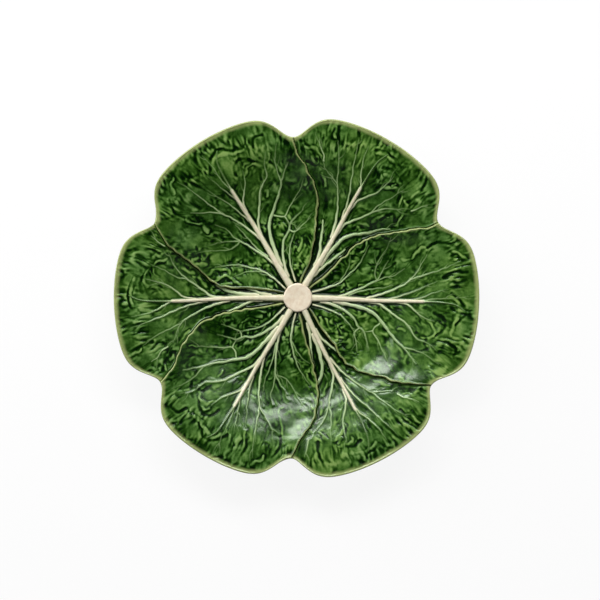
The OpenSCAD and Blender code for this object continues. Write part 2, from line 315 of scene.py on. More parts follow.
    def rim(self, angle: Array) -> Array:
        """Gives the distance from the stem's centre to the rim.

        Args:
            angle: Directions to read it at.

        Returns:
            The distance in each direction.
        """
        turns = [self.leaf_angles[k % 6] + 360 * (k // 6) for k in range(-1, 7)]
        reach = [self.reach_shares[k % 6] for k in range(-1, 7)]
        share = np.interp(angle % 360, turns, reach)
        return self.radius * share - self.notch_depth * self.notch_shape(angle)

    def leaf_top(self, leaf: int, x: Array, y: Array) -> Array:
        """Gives the height of a leaf's plain upper face, before any relief.

        Args:
            leaf: Number of the leaf.
            x: Plan coordinates along the leaf's axis.
            y: Plan coordinates across it, to the left.

        Returns:
            The height at each place.
        """
        r = np.hypot(x, y)
        angle = np.degrees(np.arctan2(y, x))
        right, left = self.sides(leaf, r)
        strip = bell(self.side_inset(leaf, x, y), self.edge_strip_w)
        gap = np.maximum(0, np.minimum(self.radius - r, r - self.inner_r))
        settle = np.minimum(1, gap / (self.settle_share * self.radius))
        rim_part = np.minimum(1, r / self.radius) ** self.rim_fade_power
        across = (angle - right) / (left - right)
        frill = self.frill_h * (1 + np.cos(2 * math.pi * self.frill_waves * across)) / 2
        sink = self.notch_sink * self.notch_shape(angle + self.leaf_angles[leaf])
        lift = self.edge_lift if self.kind(leaf) is Kind.UPPER else -self.edge_dip
        plain = self.bed(r) + self.slip_joint + self.leaf_t
        return plain + (frill - sink) * rim_part + lift * settle * strip

    def turned(self, leaf: int, x: Array, y: Array, z: Array) -> Array:
        """Turns places from a leaf's own frame into the plate's, as rows of x, y and z."""
        spin = math.radians(self.leaf_angles[leaf])
        return np.column_stack([
            x * math.cos(spin) - y * math.sin(spin), x * math.sin(spin) + y * math.cos(spin), z])

    def side_inset(self, leaf: int, x: Array, y: Array) -> Array:
        """Gives the distance to the nearer side edge of a leaf.

        Args:
            leaf: Number of the leaf.
            x: Plan coordinates along the leaf's axis.
            y: Plan coordinates across it, to the left.

        Returns:
            The distance at each place.
        """
        r = np.hypot(x, y)
        angle = np.degrees(np.arctan2(y, x))
        right, left = self.sides(leaf, r)
        return np.radians(np.minimum(left - angle, angle - right)) * r


@dataclass(frozen=True)
class Vein:
    """One raised line on a leaf, or one sunk crease.

    Points are [along, across] percentages of the plate's radius in the leaf's own frame.
    Half widths and heights are at the line's two ends, in millimetres.
    """

    points: tuple[Point, ...]
    half_w: Point
    height: Point
    warm: float = 0.0
    pale: float = 1.0
    fade: float = 0.7
    steps: int = 4
    foot_w: float = 0.25
    bank: Point = (0.95, 0.75)
    warm_run: float = 11.0

    def line(self, radius: float) -> Array:
        """Gives a smooth line through the points, in millimetres.

        Args:
            radius: The plate's radius.

        Returns:
            One row of x and y for each point of the line.
        """
        knots = np.array(self.points) * radius / 100
        padded = np.vstack([knots[:1], knots, knots[-1:]])
        rows = []
        for a, b, c, d in zip(padded, padded[1:], padded[2:], padded[3:]):
            for t in np.arange(self.steps) / self.steps:
                rows.append((2 * b + (c - a) * t + (2 * a - 5 * b + 4 * c - d) * t**2
                             + (3 * b - a - 3 * c + d) * t**3) / 2)
        return np.vstack([rows, knots[-1:]])


@dataclass
class Field:
    """What a group of lines does at each place of a leaf."""

    edge: Array
    ridge: Array
    groove: Array
    warm: Array
    vigour: Array

    @classmethod
    def empty(cls, count: int) -> "Field":
        """Makes a field with no line in it."""
        return cls(np.full(count, 50.0), *(np.zeros(count) for _ in range(4)))

    @classmethod
    def drawn(cls, lines: tuple[Vein, ...], radius: float, x: Array, y: Array) -> "Field":
        """Makes the field of some lines.

        Args:
            lines: The lines.
            radius: The plate's radius.
            x: Places along the leaf, in millimetres.
            y: Places across it.

        Returns:
            The field.
        """
        made = cls.empty(len(x))
        for line in lines:
            made.add(line, radius, x, y)
        return made

    def add(self, vein: Vein, radius: float, x: Array, y: Array, reach: float = 5.0) -> None:
        """Adds one line.

        Args:
            vein: The line.
            radius: The plate's radius.
            x: Places along the leaf, in millimetres.
            y: Places across it.
            reach: How far from the line it can still be felt.
        """
        line = vein.line(radius)
        low, high = line.min(0) - reach, line.max(0) + reach
        near = np.flatnonzero((x > low[0]) & (x < high[0]) & (y > low[1]) & (y < high[1]))
        px, py = x[near], y[near]
        lengths = np.hypot(*np.diff(line, axis=0).T)
        ends = np.concatenate([[0], np.cumsum(lengths)])
        best = np.full(len(near), 1e9)
        share = np.zeros(len(near))
        for (ax, ay), (bx, by), start, length in zip(line, line[1:], ends, lengths):
            dx, dy = bx - ax, by - ay
            t = np.clip(((px - ax) * dx + (py - ay) * dy) / (length**2 + 1e-9), 0, 1)
            far = np.hypot(px - ax - t * dx, py - ay - t * dy)
            closer = far < best
            best[closer] = far[closer]
            share[closer] = ((start + t * length) / ends[-1])[closer]
        half = vein.half_w[0] + (vein.half_w[1] - vein.half_w[0]) * share
        tall = vein.height[0] + (vein.height[1] - vein.height[0]) * share
        edge = best - half
        ridge = tall * np.exp(-((best / (half + vein.foot_w)) ** 2.4))
        self.ridge[near] = np.maximum(self.ridge[near], ridge)
        self.groove[near] = np.maximum(self.groove[near], tall * peak(edge, vein.bank))
        closer = edge < self.edge[near]
        spot = near[closer]
        self.edge[spot] = edge[closer]
        self.warm[spot] = (vein.warm * bell(share * ends[-1], vein.warm_run))[closer]
        self.vigour[spot] = (vein.pale * (1 - vein.fade * share**1.15))[closer]

    def lay_over(self, other: "Field") -> None:
        """Lets another field show wherever it comes closer, and deepens the grooves by its own.

        Args:
            other: The other field.
        """
        closer = other.edge < self.edge
        for name in ("edge", "warm", "vigour"):
            getattr(self, name)[closer] = getattr(other, name)[closer]
        self.ridge = np.maximum(self.ridge, other.ridge)
        self.groove = self.groove + other.groove


def branch(*points: Point, w: Point = (0.5, 0.18), h: Point = (0.75, 0.2), fade: float = 0.9,
           pale: float = 1.0) -> Vein:
    """Makes a vein that leaves the midrib, by its points, half widths and heights."""
    return Vein(points, (w[0] * 1.12, w[1]), h, 0.7, pale, fade)


def fork(*points: Point, w: Point = (0.28, 0.12), h: Point = (0.28, 0.1), pale: float = 0.7) -> Vein:
    """Makes a fine vein that leaves another vein."""
    return Vein(points, w, h, 0.0, pale)


def crease(*points: Point, w: Point = (0.9, 0.7), h: Point = (1.0, 0.6)) -> Vein:
    """Makes a sunk line, by its points, half widths and depths."""
    return Vein(points, w, h)


def welt(*points: Point, w: Point = (0.8, 0.6), h: Point = (1.0, 0.6)) -> Vein:
    """Makes a soft raised fold, by its points, half widths and strengths."""
    return Vein(points, w, h)


@dataclass(frozen=True)
class LeafPattern:
    """The midrib, veins and creases that all leaves of one kind share."""

    rib: tuple[Point, ...]
    veins: tuple[Vein, ...]
    creases: tuple[Vein, ...]
    welts: tuple[Vein, ...]
    rib_half_w: tuple[Point, ...] = (
        (0, 2.9), (12, 2.3), (25, 1.9), (40, 1.55), (55, 1.3), (69, 1.1), (70, 0.4), (92, 0.15))
    rib_height: tuple[Point, ...] = ((8, 1.7), (40, 1.4), (68, 1.0), (92, 0.4))
    rib_end: Point = (68.5, 70.0)
    rib_tail: Point = (69.0, 75.0)
    bare_share: float = 0.55
    veinlet_turn: Point = (0.35, 0.8)
    veinlet_length: Point = (3.0, 7.5)
    veinlet_bend: Point = (0.1, 0.35)
    trail_turn: Point = (0.05, 0.3)
    trail_length: Point = (7.0, 15.0)

    @staticmethod
    def at(table: tuple[Point, ...], percent: Array) -> Array:
        """Reads a table at percentages of the plate's radius."""
        rows = np.array(table)
        return np.interp(percent, rows[:, 0], rows[:, 1])

    def veinlets(self, seed: int) -> tuple[Vein, ...]:
        """Grows fine veins from the drawn ones, by rule.

        Args:
            seed: Number that sets their places.

        Returns:
            The fine veins.
        """
        rng = np.random.default_rng(seed)
        made = []
        for vein in self.veins:
            points = np.array(vein.points)
            for a, b in zip(points[1:], points[2:]):
                for side in (-1, 1):
                    if rng.random() < self.bare_share:
                        continue
                    start = a + (b - a) * rng.random()
                    turn = math.atan2(*(b - a)[::-1]) + side * rng.uniform(*self.veinlet_turn)
                    length = rng.uniform(*self.veinlet_length)
                    bend = -side * rng.uniform(*self.veinlet_bend)
                    made.append(self.stroke(start, turn, bend, length))
        return tuple(made)

    def trails(self, seed: int) -> tuple[Vein, ...]:
        """Carries the veins' ends on as hairline creases, by rule.

        Args:
            seed: Number that sets their bends.

        Returns:
            The creases.
        """
        rng = np.random.default_rng(seed)
        made = []
        for vein in self.veins:
            a, b = (np.array(p) for p in vein.points[-2:])
            turn = math.atan2(*(b - a)[::-1])
            for side in (-1, 1):
                drift = turn + side * rng.uniform(*self.trail_turn)
                length = rng.uniform(*self.trail_length)
                trail = self.stroke(b - (b - a) * 0.3, drift, -0.1 * side, length)
                made.append(crease(*trail.points, w=(0.2, 0.12), h=(0.5, 0.3)))
        return tuple(made)

    @staticmethod
    def stroke(start: Array, turn: float, bend: float, length: float) -> Vein:
        """Draws one short bent line.

        Args:
            start: Its first point, in percentages.
            turn: Its first direction, in radians.
            bend: How much the direction changes at each third.
            length: Its length, in percentages.

        Returns:
            The line, as a fine vein.
        """
        points = [start]
        for k in range(3):
            ahead = np.array([math.cos(turn + bend * k), math.sin(turn + bend * k)])
            points.append(points[-1] + ahead * length / 3)
        return Vein(tuple(map(tuple, points)), (0.15, 0.07), (0.1, 0.04), 0.0, 0.26, 0.7, 2)


UPPER_PATTERN = LeafPattern(
    rib=((7.5, 0), (20, 0.2), (32, 0), (44, -0.2), (56, 0), (68, 0.2), (78, 0), (86, -1), (91, -4)),
    veins=(
        branch((8, 3.4), (15, 5.4), (22, 8.6), (26, 12), (30, 16), (34, 21), (38, 30), w=(0.42, 0.14)),
        branch((20, 1), (25, 2.2), (31, 4.6), (37, 7.6), (43, 11), (46, 16), (49, 22), w=(0.62, 0.14)),
        fork((28, 2.4), (36, 5.2), (46, 7), (52, 8.4)),
        branch((38, 0.9), (43, 2.4), (50, 5), (57, 8.6), (62, 12), (69, 14.8), (80, 19), (88, 23),
               w=(0.5, 0.12), fade=0.95),
        fork((61, 11.5), (64, 15), (67, 20.5), (70, 26), pale=0.6),
        fork((40, 9), (47, 12.6), (53, 14), (58, 18), pale=0.5),
        branch((50, 0.9), (56, 2.6), (62, 4.8), (68, 7.6), (76, 11.5), w=(0.34, 0.12), pale=0.6),
        branch((63, 0.8), (68, 2.4), (74, 4.8), (82, 7.6), w=(0.24, 0.12), pale=0.4),
        fork((43, 11), (42, 17), (45, 24), (48, 29), (50, 35), pale=0.3),
        fork((22, 8.6), (27, 17), (28, 24), pale=0.35),
        branch((8.5, -3.6), (15, -5.2), (20, -7), (25, -10), (29, -14), (33, -19.5), w=(0.42, 0.14)),
        fork((34.5, -15.5), (32, -18), (33, -24), (34, -29)),
        branch((13, -1.8), (18, -2.8), (25, -5.6), (31, -10), (34, -15), (37, -17.5), (38.5, -22),
               (40, -28), w=(0.78, 0.2)),
        branch((20, -1.4), (26, -2.4), (34, -4), (41, -6.6), (45, -10), (50, -16), (55, -22),
               (59, -25.6), (62, -29), (66, -34), w=(1.1, 0.25), h=(1.2, 0.4), fade=0.8),
        fork((45.5, -12.5), (42, -17), (45, -22), (48, -28), (51, -34), w=(0.32, 0.18)),
        fork((42, -17), (39, -17.4), (37, -17.5)),
        branch((39, -1), (45, -2), (50, -5.4), (55, -8.8), (60, -12.2), (63, -16), (66, -20.4),
               (72, -22.6), (77, -26.5), w=(0.62, 0.15)),
        fork((59, -25.6), (65, -26.5), (71, -29), (78, -34), pale=0.4),
        branch((55, -0.8), (60, -1.6), (65, -5.4), (69, -8.4), (75, -10.6), w=(0.45, 0.15)),
        fork((68, 0.2), (76, 2), (86, 2.6), (93, 4), pale=0.35),
    ),
    creases=(
        crease((84, 5), (88, 2), (91, -1.5), (91.5, -6), (89, -9), (86.5, -12)),
        crease((75, -6), (79.5, -8), (81, -12), (79, -16), (76, -18)),
        crease((66, -17), (69, -18), (71, -20), (70, -23)),
        crease((63, -27), (69, -27), (73, -24.5), (76, -22)),
        crease((83, -22), (87, -25), (86, -30)),
        crease((46, 13), (49, 18), (53, 21)),
        crease((70, 30), (75, 33), (82, 32)),
        crease((79, 14), (85, 17), (92, 17)),
        crease((27, 27), (30, 29), (30, 34)),
        crease((33, 27), (35.5, 30), (34.5, 35)),
        crease((45, 36), (48, 34), (53, 33)),
        crease((36, 6.4), (42, 7.2), (48, 8)),
        crease((8.6, 2.6), (14, 3), (21, 3.2), w=(0.9, 0.5)),
        crease((20, -3.4), (26, -5), (32, -7.6), w=(1.0, 0.6)),
        crease((12, -3.4), (17, -4.6), (22, -6.6), w=(0.8, 0.5)),
    ),
    welts=(
        welt((83, 3), (87.5, 1), (89, -3.5), (87, -8), (85, -12), (84.5, -17), w=(1.2, 0.9)),
        welt((72, -10), (75, -13.5), (75.5, -17), (72.5, -19.8), (68, -19.6)),
        welt((76.5, -11.5), (78, -13.4), (77, -15), h=(1.2, 1.0)),
        welt((56, -15), (59.5, -16)),
        welt((51, -35), (53, -38)),
        welt((62, 24), (64, 27), (68, 30)),
        welt((42, 34), (45, 38.4), (48, 38), (46, 34.5)),
        welt((28.4, 25.5), (31.6, 29), (31.6, 35.5)),
        welt((25.5, 27), (28, 31), (28, 34)),
        welt((34, 26), (37, 30), (36.4, 36)),
        welt((22, 23), (25, 25), (30, 25.4), (35, 24.6)),
        welt((33, 7.6), (39, 9.2), (46, 9.8), w=(0.6, 0.5)),
        welt((13, -11), (14.5, -15), (17, -18)),
        welt((16, -11), (17.5, -14.5), (20, -18)),
        welt((19, -12), (20, -15), (22.5, -18.5)),
        welt((22, -14), (24, -17), (27, -19.5)),
        welt((57, 23), (61, 23.4)),
        welt((72, -24), (75, -28)),
        welt((84, 28), (88, 27), (91, 24)),
    ),
)

LOWER_PATTERN = LeafPattern(
    rib=((7.5, 0), (20, -0.4), (32, -0.6), (44, -0.4), (56, 0), (68, 0.2), (78, 0), (86, -0.8),
         (92, -3.5)),
    veins=(
        branch((20, 0.9), (26, 1.6), (32, 4), (38, 6.6), (44, 9.4), w=(0.7, 0.35), fade=0.3),
        branch((38, 0.7), (43, 1.8), (50, 4.2), (57, 7.6), (62, 10.4), (65, 13), (67, 18), (69, 23),
               w=(0.55, 0.12), fade=0.9),
        fork((65, 12.6), (71, 15.5), (78, 19), (85, 24), pale=0.4),
        fork((72, 25), (75, 27), (78, 31), (81, 33), pale=0.9),
        branch((50, 0.9), (57, 2), (64, 4), (72, 7.4), (80, 10.4), (92, 14.6),
               w=(0.36, 0.12), fade=0.95),
        branch((63, 0.7), (70, 0.9), (76, 4), (83, 6.6), (91, 8), w=(0.3, 0.12), fade=0.9),
        branch((15, -1.8), (20, -3), (25, -5), (30, -7), (36, -9.4), w=(0.75, 0.35), fade=0.3),
        branch((22, -1.8), (29, -2.6), (36, -4), (42, -6.4), (46, -10), (50, -15.5), (55, -20.5),
               (58, -25), w=(1.15, 0.35), h=(1.2, 0.5), fade=0.7),
        branch((40, -1), (47, -2), (51, -4.4), (56, -8.6), (61, -12), (65, -16), (68, -20.5),
               (70, -26), w=(0.62, 0.15)),
        fork((60, -11.5), (66, -13), (73, -17), (80, -20.5), pale=0.4),
        branch((56, -0.8), (62, -1.8), (66, -4.6), (71, -8.6), (76, -10.4), (83, -12.4), w=(0.45, 0.15),
               fade=0.9),
        fork((72, -30), (76, -33), (79, -36), pale=0.7),
    ),
    creases=(
        crease((91, 3), (92.5, -2), (92, -7), (90, -11)),
        crease((74, -8), (78, -11), (80, -16), (77, -20), (72, -21)),
        crease((60, -18), (64, -20), (66, -23), (62, -25.5), (68, -26)),
        crease((75, -26), (80, -28.4), (87, -29), (92, -28)),
        crease((67, 33), (68, 28), (71, 30), (74, 34), (75, 38)),
        crease((80, 22), (86, 24), (92, 27)),
        crease((84, 12), (90, 13), (96, 17)),
        crease((85, -5), (86, -10), (84, -14)),
        crease((9, 2), (16, 2.2), (24, 2.4), w=(0.9, 0.5)),
        crease((27, -3.6), (34, -5.2), (41, -7.6), w=(1.1, 0.7)),
        crease((17, -4.6), (22, -6), (26, -6.8), w=(0.9, 0.6)),
    ),
    welts=(
        welt((74, -8.5), (77, -13), (78.6, -18), (76, -21.6), (71, -23)),
        welt((79, -13.6), (80.4, -16), h=(1.3, 1.2)),
        welt((90.5, 2), (91.6, -3), (90.6, -9), (88.5, -12), w=(1.1, 0.9)),
        welt((57, -15), (61, -16.6), (63.4, -20)),
        welt((61, -26.8), (67, -27), (73, -26.6), (75.4, -24.4), w=(0.7, 0.5)),
        welt((69, 28.6), (70.4, 31.6), (72, 29.4), w=(1.2, 1.0)),
        welt((73, 27.6), (75.4, 33), (73.4, 38)),
        welt((86, 26.6), (90.6, 28.4)),
        welt((60, 17), (63, 19), (66, 23)),
        welt((50, -7), (53, -10), (54, -14)),
        welt((82, -8), (84, -12), (82, -17)),
    ),
)

PATTERNS = {Kind.UPPER: UPPER_PATTERN, Kind.LOWER: LOWER_PATTERN}


def linked(name: str, data: bpy.types.ID) -> Body:
    """Puts some data in the scene.

    Args:
        name: The object's name.
        data: Its mesh, lamp or camera.

    Returns:
        The new object.
    """
    body = bpy.data.objects.new(name, data)
    bpy.context.scene.collection.objects.link(body)
    return body


def solid(name: str, unit: Mesh) -> Body:
    """Puts a bmesh in the scene and frees it.

    Args:
        name: Name of the object and of its mesh.
        unit: The bmesh.

    Returns:
        The new object.
    """
    mesh = bpy.data.meshes.new(name)
    unit.to_mesh(mesh)
    unit.free()
    return linked(name, mesh)


def draw_out(unit: Mesh, edges: Edges, rise: float) -> Edges:
    """Draws a wall out of a loop of edges.

    Args:
        unit: The bmesh.
        edges: The loop.
        rise: How far up the wall goes.

    Returns:
        The edges at the wall's far end.
    """
    made = bmesh.ops.extrude_edge_only(unit, edges=edges)["geom"]
    loop = {g for g in made if isinstance(g, bmesh.types.BMVert)}
    bmesh.ops.translate(unit, vec=(0, 0, rise), verts=list(loop))
    return [g for g in made if isinstance(g, bmesh.types.BMEdge) and loop.issuperset(g.verts)]


def spun(profile: list[Point], segments: int) -> Mesh:
    """Turns a profile round the z axis, in millimetres.

    Args:
        profile: Radii and heights, from the axis round to the axis again or closed on itself.
        segments: Steps of the full turn.

    Returns:
        A closed bmesh, in metres.
    """
    unit = bmesh.new()
    corners = [unit.verts.new((r * MM, 0, z * MM)) for r, z in profile]
    edges = [unit.edges.new(pair) for pair in zip(corners, corners[1:])]
    if profile[0][0] > 0:
        edges.append(unit.edges.new((corners[-1], corners[0])))
    bmesh.ops.spin(unit, geom=corners + edges, cent=(0, 0, 0), axis=(0, 0, 1), angle=2 * math.pi,
                   steps=segments, use_merge=True)
    bmesh.ops.remove_doubles(unit, verts=unit.verts, dist=1e-6)
    bmesh.ops.recalc_face_normals(unit, faces=unit.faces)
    return unit


class NodeSheet:
    """A node tree of a material or the sky, with short calls to add and join nodes."""

    def __init__(self, owner: Material | bpy.types.World) -> None:
        """Empties a node tree and takes it over.

        Args:
            owner: The material or the sky that the tree belongs to.
        """
        self.owner = owner
        owner.use_nodes = True
        self.tree = owner.node_tree
        self.tree.nodes.clear()

    def add(self, kind: str, feeds: dict[str | int, Feed] | None = None,
            **settings: object) -> bpy.types.Node:
        """Adds a node.

        Args:
            kind: The node's type name, after ShaderNode.
            feeds: What its inputs take, by name or place: a socket, a number or a colour.
            **settings: Properties of the node, by name.

        Returns:
            The new node.
        """
        node = self.tree.nodes.new("ShaderNode" + kind)
        for key, value in settings.items():
            setattr(node, key, value)
        for key, value in (feeds or {}).items():
            if isinstance(value, Socket):
                self.tree.links.new(value, node.inputs[key])
            else:
                node.inputs[key].default_value = (*value, 1) if isinstance(value, tuple) else value
        return node

    def attribute(self, name: str) -> Socket:
        """Reads a number that the mesh holds at each vertex."""
        return self.add("Attribute", attribute_name=name).outputs["Fac"]

    def noise(self, scale: float, detail: float = 2.0, roughness: float = 0.5) -> Socket:
        """Gives noise on Object coordinates, by waves per metre, octaves and their strength."""
        place = self.add("TexCoord").outputs["Object"]
        return self.add("TexNoise", {"Vector": place, "Scale": scale, "Detail": detail,
                                     "Roughness": roughness}).outputs["Fac"]

    def span(self, value: Socket, low: float, high: float, to_low: float = 0.0, to_high: float = 1.0,
             smooth: bool = True) -> Socket:
        """Maps a number from one span to another.

        Args:
            value: The number.
            low: Where the span starts.
            high: Where it ends.
            to_low: Result at the start.
            to_high: Result at the end.
            smooth: Whether it eases in and out.

        Returns:
            The mapped number.
        """
        feeds = {"Value": value, "From Min": low, "From Max": high, "To Min": to_low, "To Max": to_high}
        how = "SMOOTHSTEP" if smooth else "LINEAR"
        return self.add("MapRange", feeds, interpolation_type=how).outputs["Result"]

    def math(self, operation: str, first: Feed, second: Feed) -> Socket:
        """Works out one number from two."""
        return self.add("Math", {0: first, 1: second}, operation=operation).outputs[0]

    def ramp(self, value: Socket, stops: tuple[tuple[float, Colour], ...]) -> Socket:
        """Colours a number from 0 to 1.

        Args:
            value: The number.
            stops: Places and their colours, lowest first.

        Returns:
            The colour.
        """
        node = self.add("ValToRGB", {"Fac": value})
        marks = node.color_ramp.elements
        while len(marks) < len(stops):
            marks.new(0.5)
        for mark, (place, colour) in zip(marks, stops):
            mark.position, mark.color = place, (*colour, 1)
        return node.outputs["Color"]

    def blend(self, share: Socket, first: Feed, second: Feed, how: str = "MIX") -> Socket:
        """Mixes two colours, by the share of the second that shows."""
        feeds = {"Factor": share, 6: first, 7: second}
        return self.add("Mix", feeds, data_type="RGBA", blend_type=how).outputs[2]

    def bump(self, height: Socket, depth: float, under: Socket | None = None) -> Socket:
        """Turns a height into a normal.

        Args:
            height: The height.
            depth: Metres that a height of 1 stands for.
            under: A coarser normal to add it to.

        Returns:
            The normal.
        """
        feeds = {"Height": height, "Distance": depth}
        if under is not None:
            feeds["Normal"] = under
        return self.add("Bump", feeds).outputs["Normal"]

    def glaze(self, colour: Socket, normal: Socket, roughness: Socket, coat_roughness: float,
              clay: Socket | None = None, sheen: Colour | None = None, coat: float = 1.0) -> Material:
        """Finishes the material as glazed clay.

        Args:
            colour: Colour of the clay seen through the glaze.
            normal: Normal of the glassy top.
            roughness: Roughness of the coloured layer.
            coat_roughness: Roughness of the glassy top.
            clay: Normal of the coloured layer, where it is rougher than the top.
            sheen: Colour that the coloured layer's own gloss takes, if it has any.
            coat: Weight of the glassy top.

        Returns:
            The finished material.
        """
        feeds = {"Base Color": colour, "Roughness": roughness, "Normal": normal if clay is None else clay,
                 "Specular IOR Level": 0.0, "Coat Normal": normal, "Coat Weight": coat,
                 "Coat Roughness": coat_roughness, "Coat IOR": GLAZE_IOR}
        if sheen is not None:
            feeds |= {"Specular IOR Level": CLAY_GLOSS, "Specular Tint": sheen}
        return self.finished(self.add("BsdfPrincipled", feeds).outputs["BSDF"])

    def finished(self, surface: Socket) -> Material:
        """Gives the material its surface."""
        self.add("OutputMaterial", {"Surface": surface})
        return self.owner


@dataclass(frozen=True)
class LeafGlaze:
    """Green glaze that pools dark in the hollows and runs thin on ridges and edges; where a lower leaf
    slips under an upper leaf's edge, its dark is partly painted shadow.
    """

    name: str = "leaf_glaze"
    deep: Colour = srgb(2, 20, 2)
    dark: Colour = srgb(11, 41, 4)
    shade: Colour = srgb(28, 60, 11)
    green: Colour = srgb(51, 87, 31)
    light: Colour = srgb(84, 122, 58)
    thin: Colour = srgb(130, 162, 96)
    vein: Colour = srgb(190, 211, 160)
    rib: Colour = srgb(226, 212, 188)
    edge: Colour = srgb(156, 168, 106)
    fringe: Colour = srgb(136, 168, 100)
    olive: Colour = (1.03, 1.0, 0.8)
    sheen: Colour = (0.72, 1.0, 0.62)
    coat: float = 0.5
    coat_roughness: float = 0.15
    skin_depth: float = 0.00024
    ripple_depth: float = 0.00004
    roughness: Point = (0.19, 0.25)
    beside_vein: Point = (0.5, 0.05)
    on_vein: Point = (0.22, -0.12)
    margin: Point = (4.4, 0.9)
    fringe_share: float = 0.75

    def material(self) -> Material:
        """Makes the glaze.

        Returns:
            The material.
        """
        sheet = NodeSheet(bpy.data.materials.new(self.name))
        mottle = sheet.span(sheet.noise(650, 3, 0.6), 0.3, 0.7, -0.09, 0.09)
        drift = sheet.span(sheet.noise(25, 2), 0.3, 0.7, -0.14, 0.12)
        # This number darkens the glaze where it lies thick; beside an upper leaf's edge on a lower leaf
        # it also carries painted shadow.
        depth = sheet.math("ADD", sheet.attribute("pool"), sheet.math("ADD", mottle, drift))
        body = sheet.ramp(sheet.span(depth, -1.0, 1.0, smooth=False), (
            (0.1, self.deep), (0.25, self.dark), (0.39, self.shade), (0.53, self.green),
            (0.7, self.light), (1.0, self.thin)))
        body = sheet.blend(sheet.span(sheet.noise(28, 2), 0.36, 0.64), body, self.olive, "MULTIPLY")
        line = sheet.attribute("vein")
        vigour = sheet.attribute("vigour")
        beside = sheet.math("MULTIPLY", sheet.span(line, *self.beside_vein), vigour)
        body = sheet.blend(sheet.math("MULTIPLY", beside, self.fringe_share), body, self.fringe)
        vein = sheet.blend(sheet.attribute("warm"), self.vein, self.rib)
        body = sheet.blend(sheet.math("MULTIPLY", sheet.span(line, *self.on_vein), vigour), body, vein)
        body = sheet.blend(sheet.span(sheet.attribute("margin"), *self.margin), body, self.edge)
        normal = sheet.bump(sheet.noise(240, 2), self.ripple_depth)
        clay = sheet.bump(sheet.attribute("skin"), self.skin_depth, normal)
        rough = sheet.span(sheet.noise(200, 2), 0.3, 0.7, *self.roughness)
        return sheet.glaze(body, normal, rough, self.coat_roughness, clay, self.sheen, self.coat)


@dataclass(frozen=True)
class RibGlaze:
    """Beige glaze of the midribs and the cut stem, greener where it ends."""

    name: str = "rib_glaze"
    rib: Colour = srgb(235, 223, 200)
    shade: Colour = srgb(224, 206, 180)
    vein: Colour = srgb(188, 205, 156)
    foot: Colour = srgb(132, 148, 92)
    green: Colour = srgb(84, 116, 54)
    coat_roughness: float = 0.16
    ripple_depth: float = 0.00015
    roughness: Point = (0.4, 0.5)

    def material(self) -> Material:
        """Makes the glaze.

        Returns:
            The material.
        """
        sheet = NodeSheet(bpy.data.materials.new(self.name))
        mottle = sheet.span(sheet.noise(260, 3, 0.6), 0.35, 0.7)
        body = sheet.blend(mottle, self.rib, self.shade)
        body = sheet.blend(sheet.attribute("tip"), body, self.vein)
        body = sheet.blend(sheet.attribute("tail"), body, self.green)
        body = sheet.blend(sheet.attribute("foot"), body, self.foot)
        normal = sheet.bump(sheet.noise(500, 2), self.ripple_depth)
        rough = sheet.span(sheet.noise(200, 2), 0.3, 0.7, *self.roughness)
        return sheet.glaze(body, normal, rough, self.coat_roughness)


@dataclass(frozen=True)
class UndersideGlaze:
    """Even green glaze of the underside, with bare clay where the foot was wiped."""

    name: str = "underside_glaze"
    green: Colour = srgb(60, 94, 40)
    dark: Colour = srgb(34, 66, 22)
    pale: Colour = srgb(174, 190, 130)
    clay: Colour = srgb(216, 200, 176)
    coat_roughness: float = 0.16
    ripple_depth: float = 0.00006
    roughness: Point = (0.4, 0.85)

    def material(self) -> Material:
        """Makes the glaze.

        Returns:
            The material.
        """
        sheet = NodeSheet(bpy.data.materials.new(self.name))
        cloud = sheet.span(sheet.noise(40, 3, 0.6), 0.3, 0.7)
        body = sheet.blend(cloud, self.green, self.dark)
        body = sheet.blend(sheet.attribute("thin"), body, self.pale)
        wiped = sheet.attribute("wiped")
        body = sheet.blend(wiped, body, self.clay)
        normal = sheet.bump(sheet.noise(320, 2), self.ripple_depth)
        rough = sheet.span(wiped, 0.0, 1.0, *self.roughness)
        return sheet.glaze(body, normal, rough, self.coat_roughness)


@dataclass
class Piece(ABC):
    """One modelled piece: a mesh from bmesh operators that its own method then shapes."""

    name: str
    form: PlateForm
    stands_for: tuple[str, ...]
    slot: str

    @abstractmethod
    def unit(self) -> Mesh:
        """Builds the plain mesh of the piece."""

    @abstractmethod
    def shaped(self, body: Body, unit: Array) -> Array:
        """Gives the places of the plain mesh's vertices in the finished piece, in millimetres."""

    def build(self, material: Material) -> None:
        """Builds, shapes and dresses the piece, and ties it to the frame.

        Args:
            material: Its glaze.
        """
        body = solid(self.name, self.unit())
        mesh = body.data
        mesh.shade_smooth()
        flat = np.empty(len(mesh.vertices) * 3)
        mesh.vertices.foreach_get("co", flat)
        mesh.vertices.foreach_set("co", (self.shaped(body, flat.reshape(-1, 3)) * MM).ravel())
        mesh.update()
        mesh.materials.append(material)
        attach(body, ROOT_BODY)
        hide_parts(*self.stands_for)
        nodes = ", ".join(self.stands_for)
        LOG.info("%s: %d faces, stands for %s", self.name, len(mesh.polygons), nodes)

    @staticmethod
    def note(body: Body, **notes: Array) -> None:
        """Keeps numbers for each vertex, for the material to read.

        Args:
            body: The piece's object.
            **notes: The numbers, by the name of their attribute.
        """
        for name, values in notes.items():
            layer = body.data.attributes.new(name, "FLOAT", "POINT")
            layer.data.foreach_set("value", values.astype(np.float32))


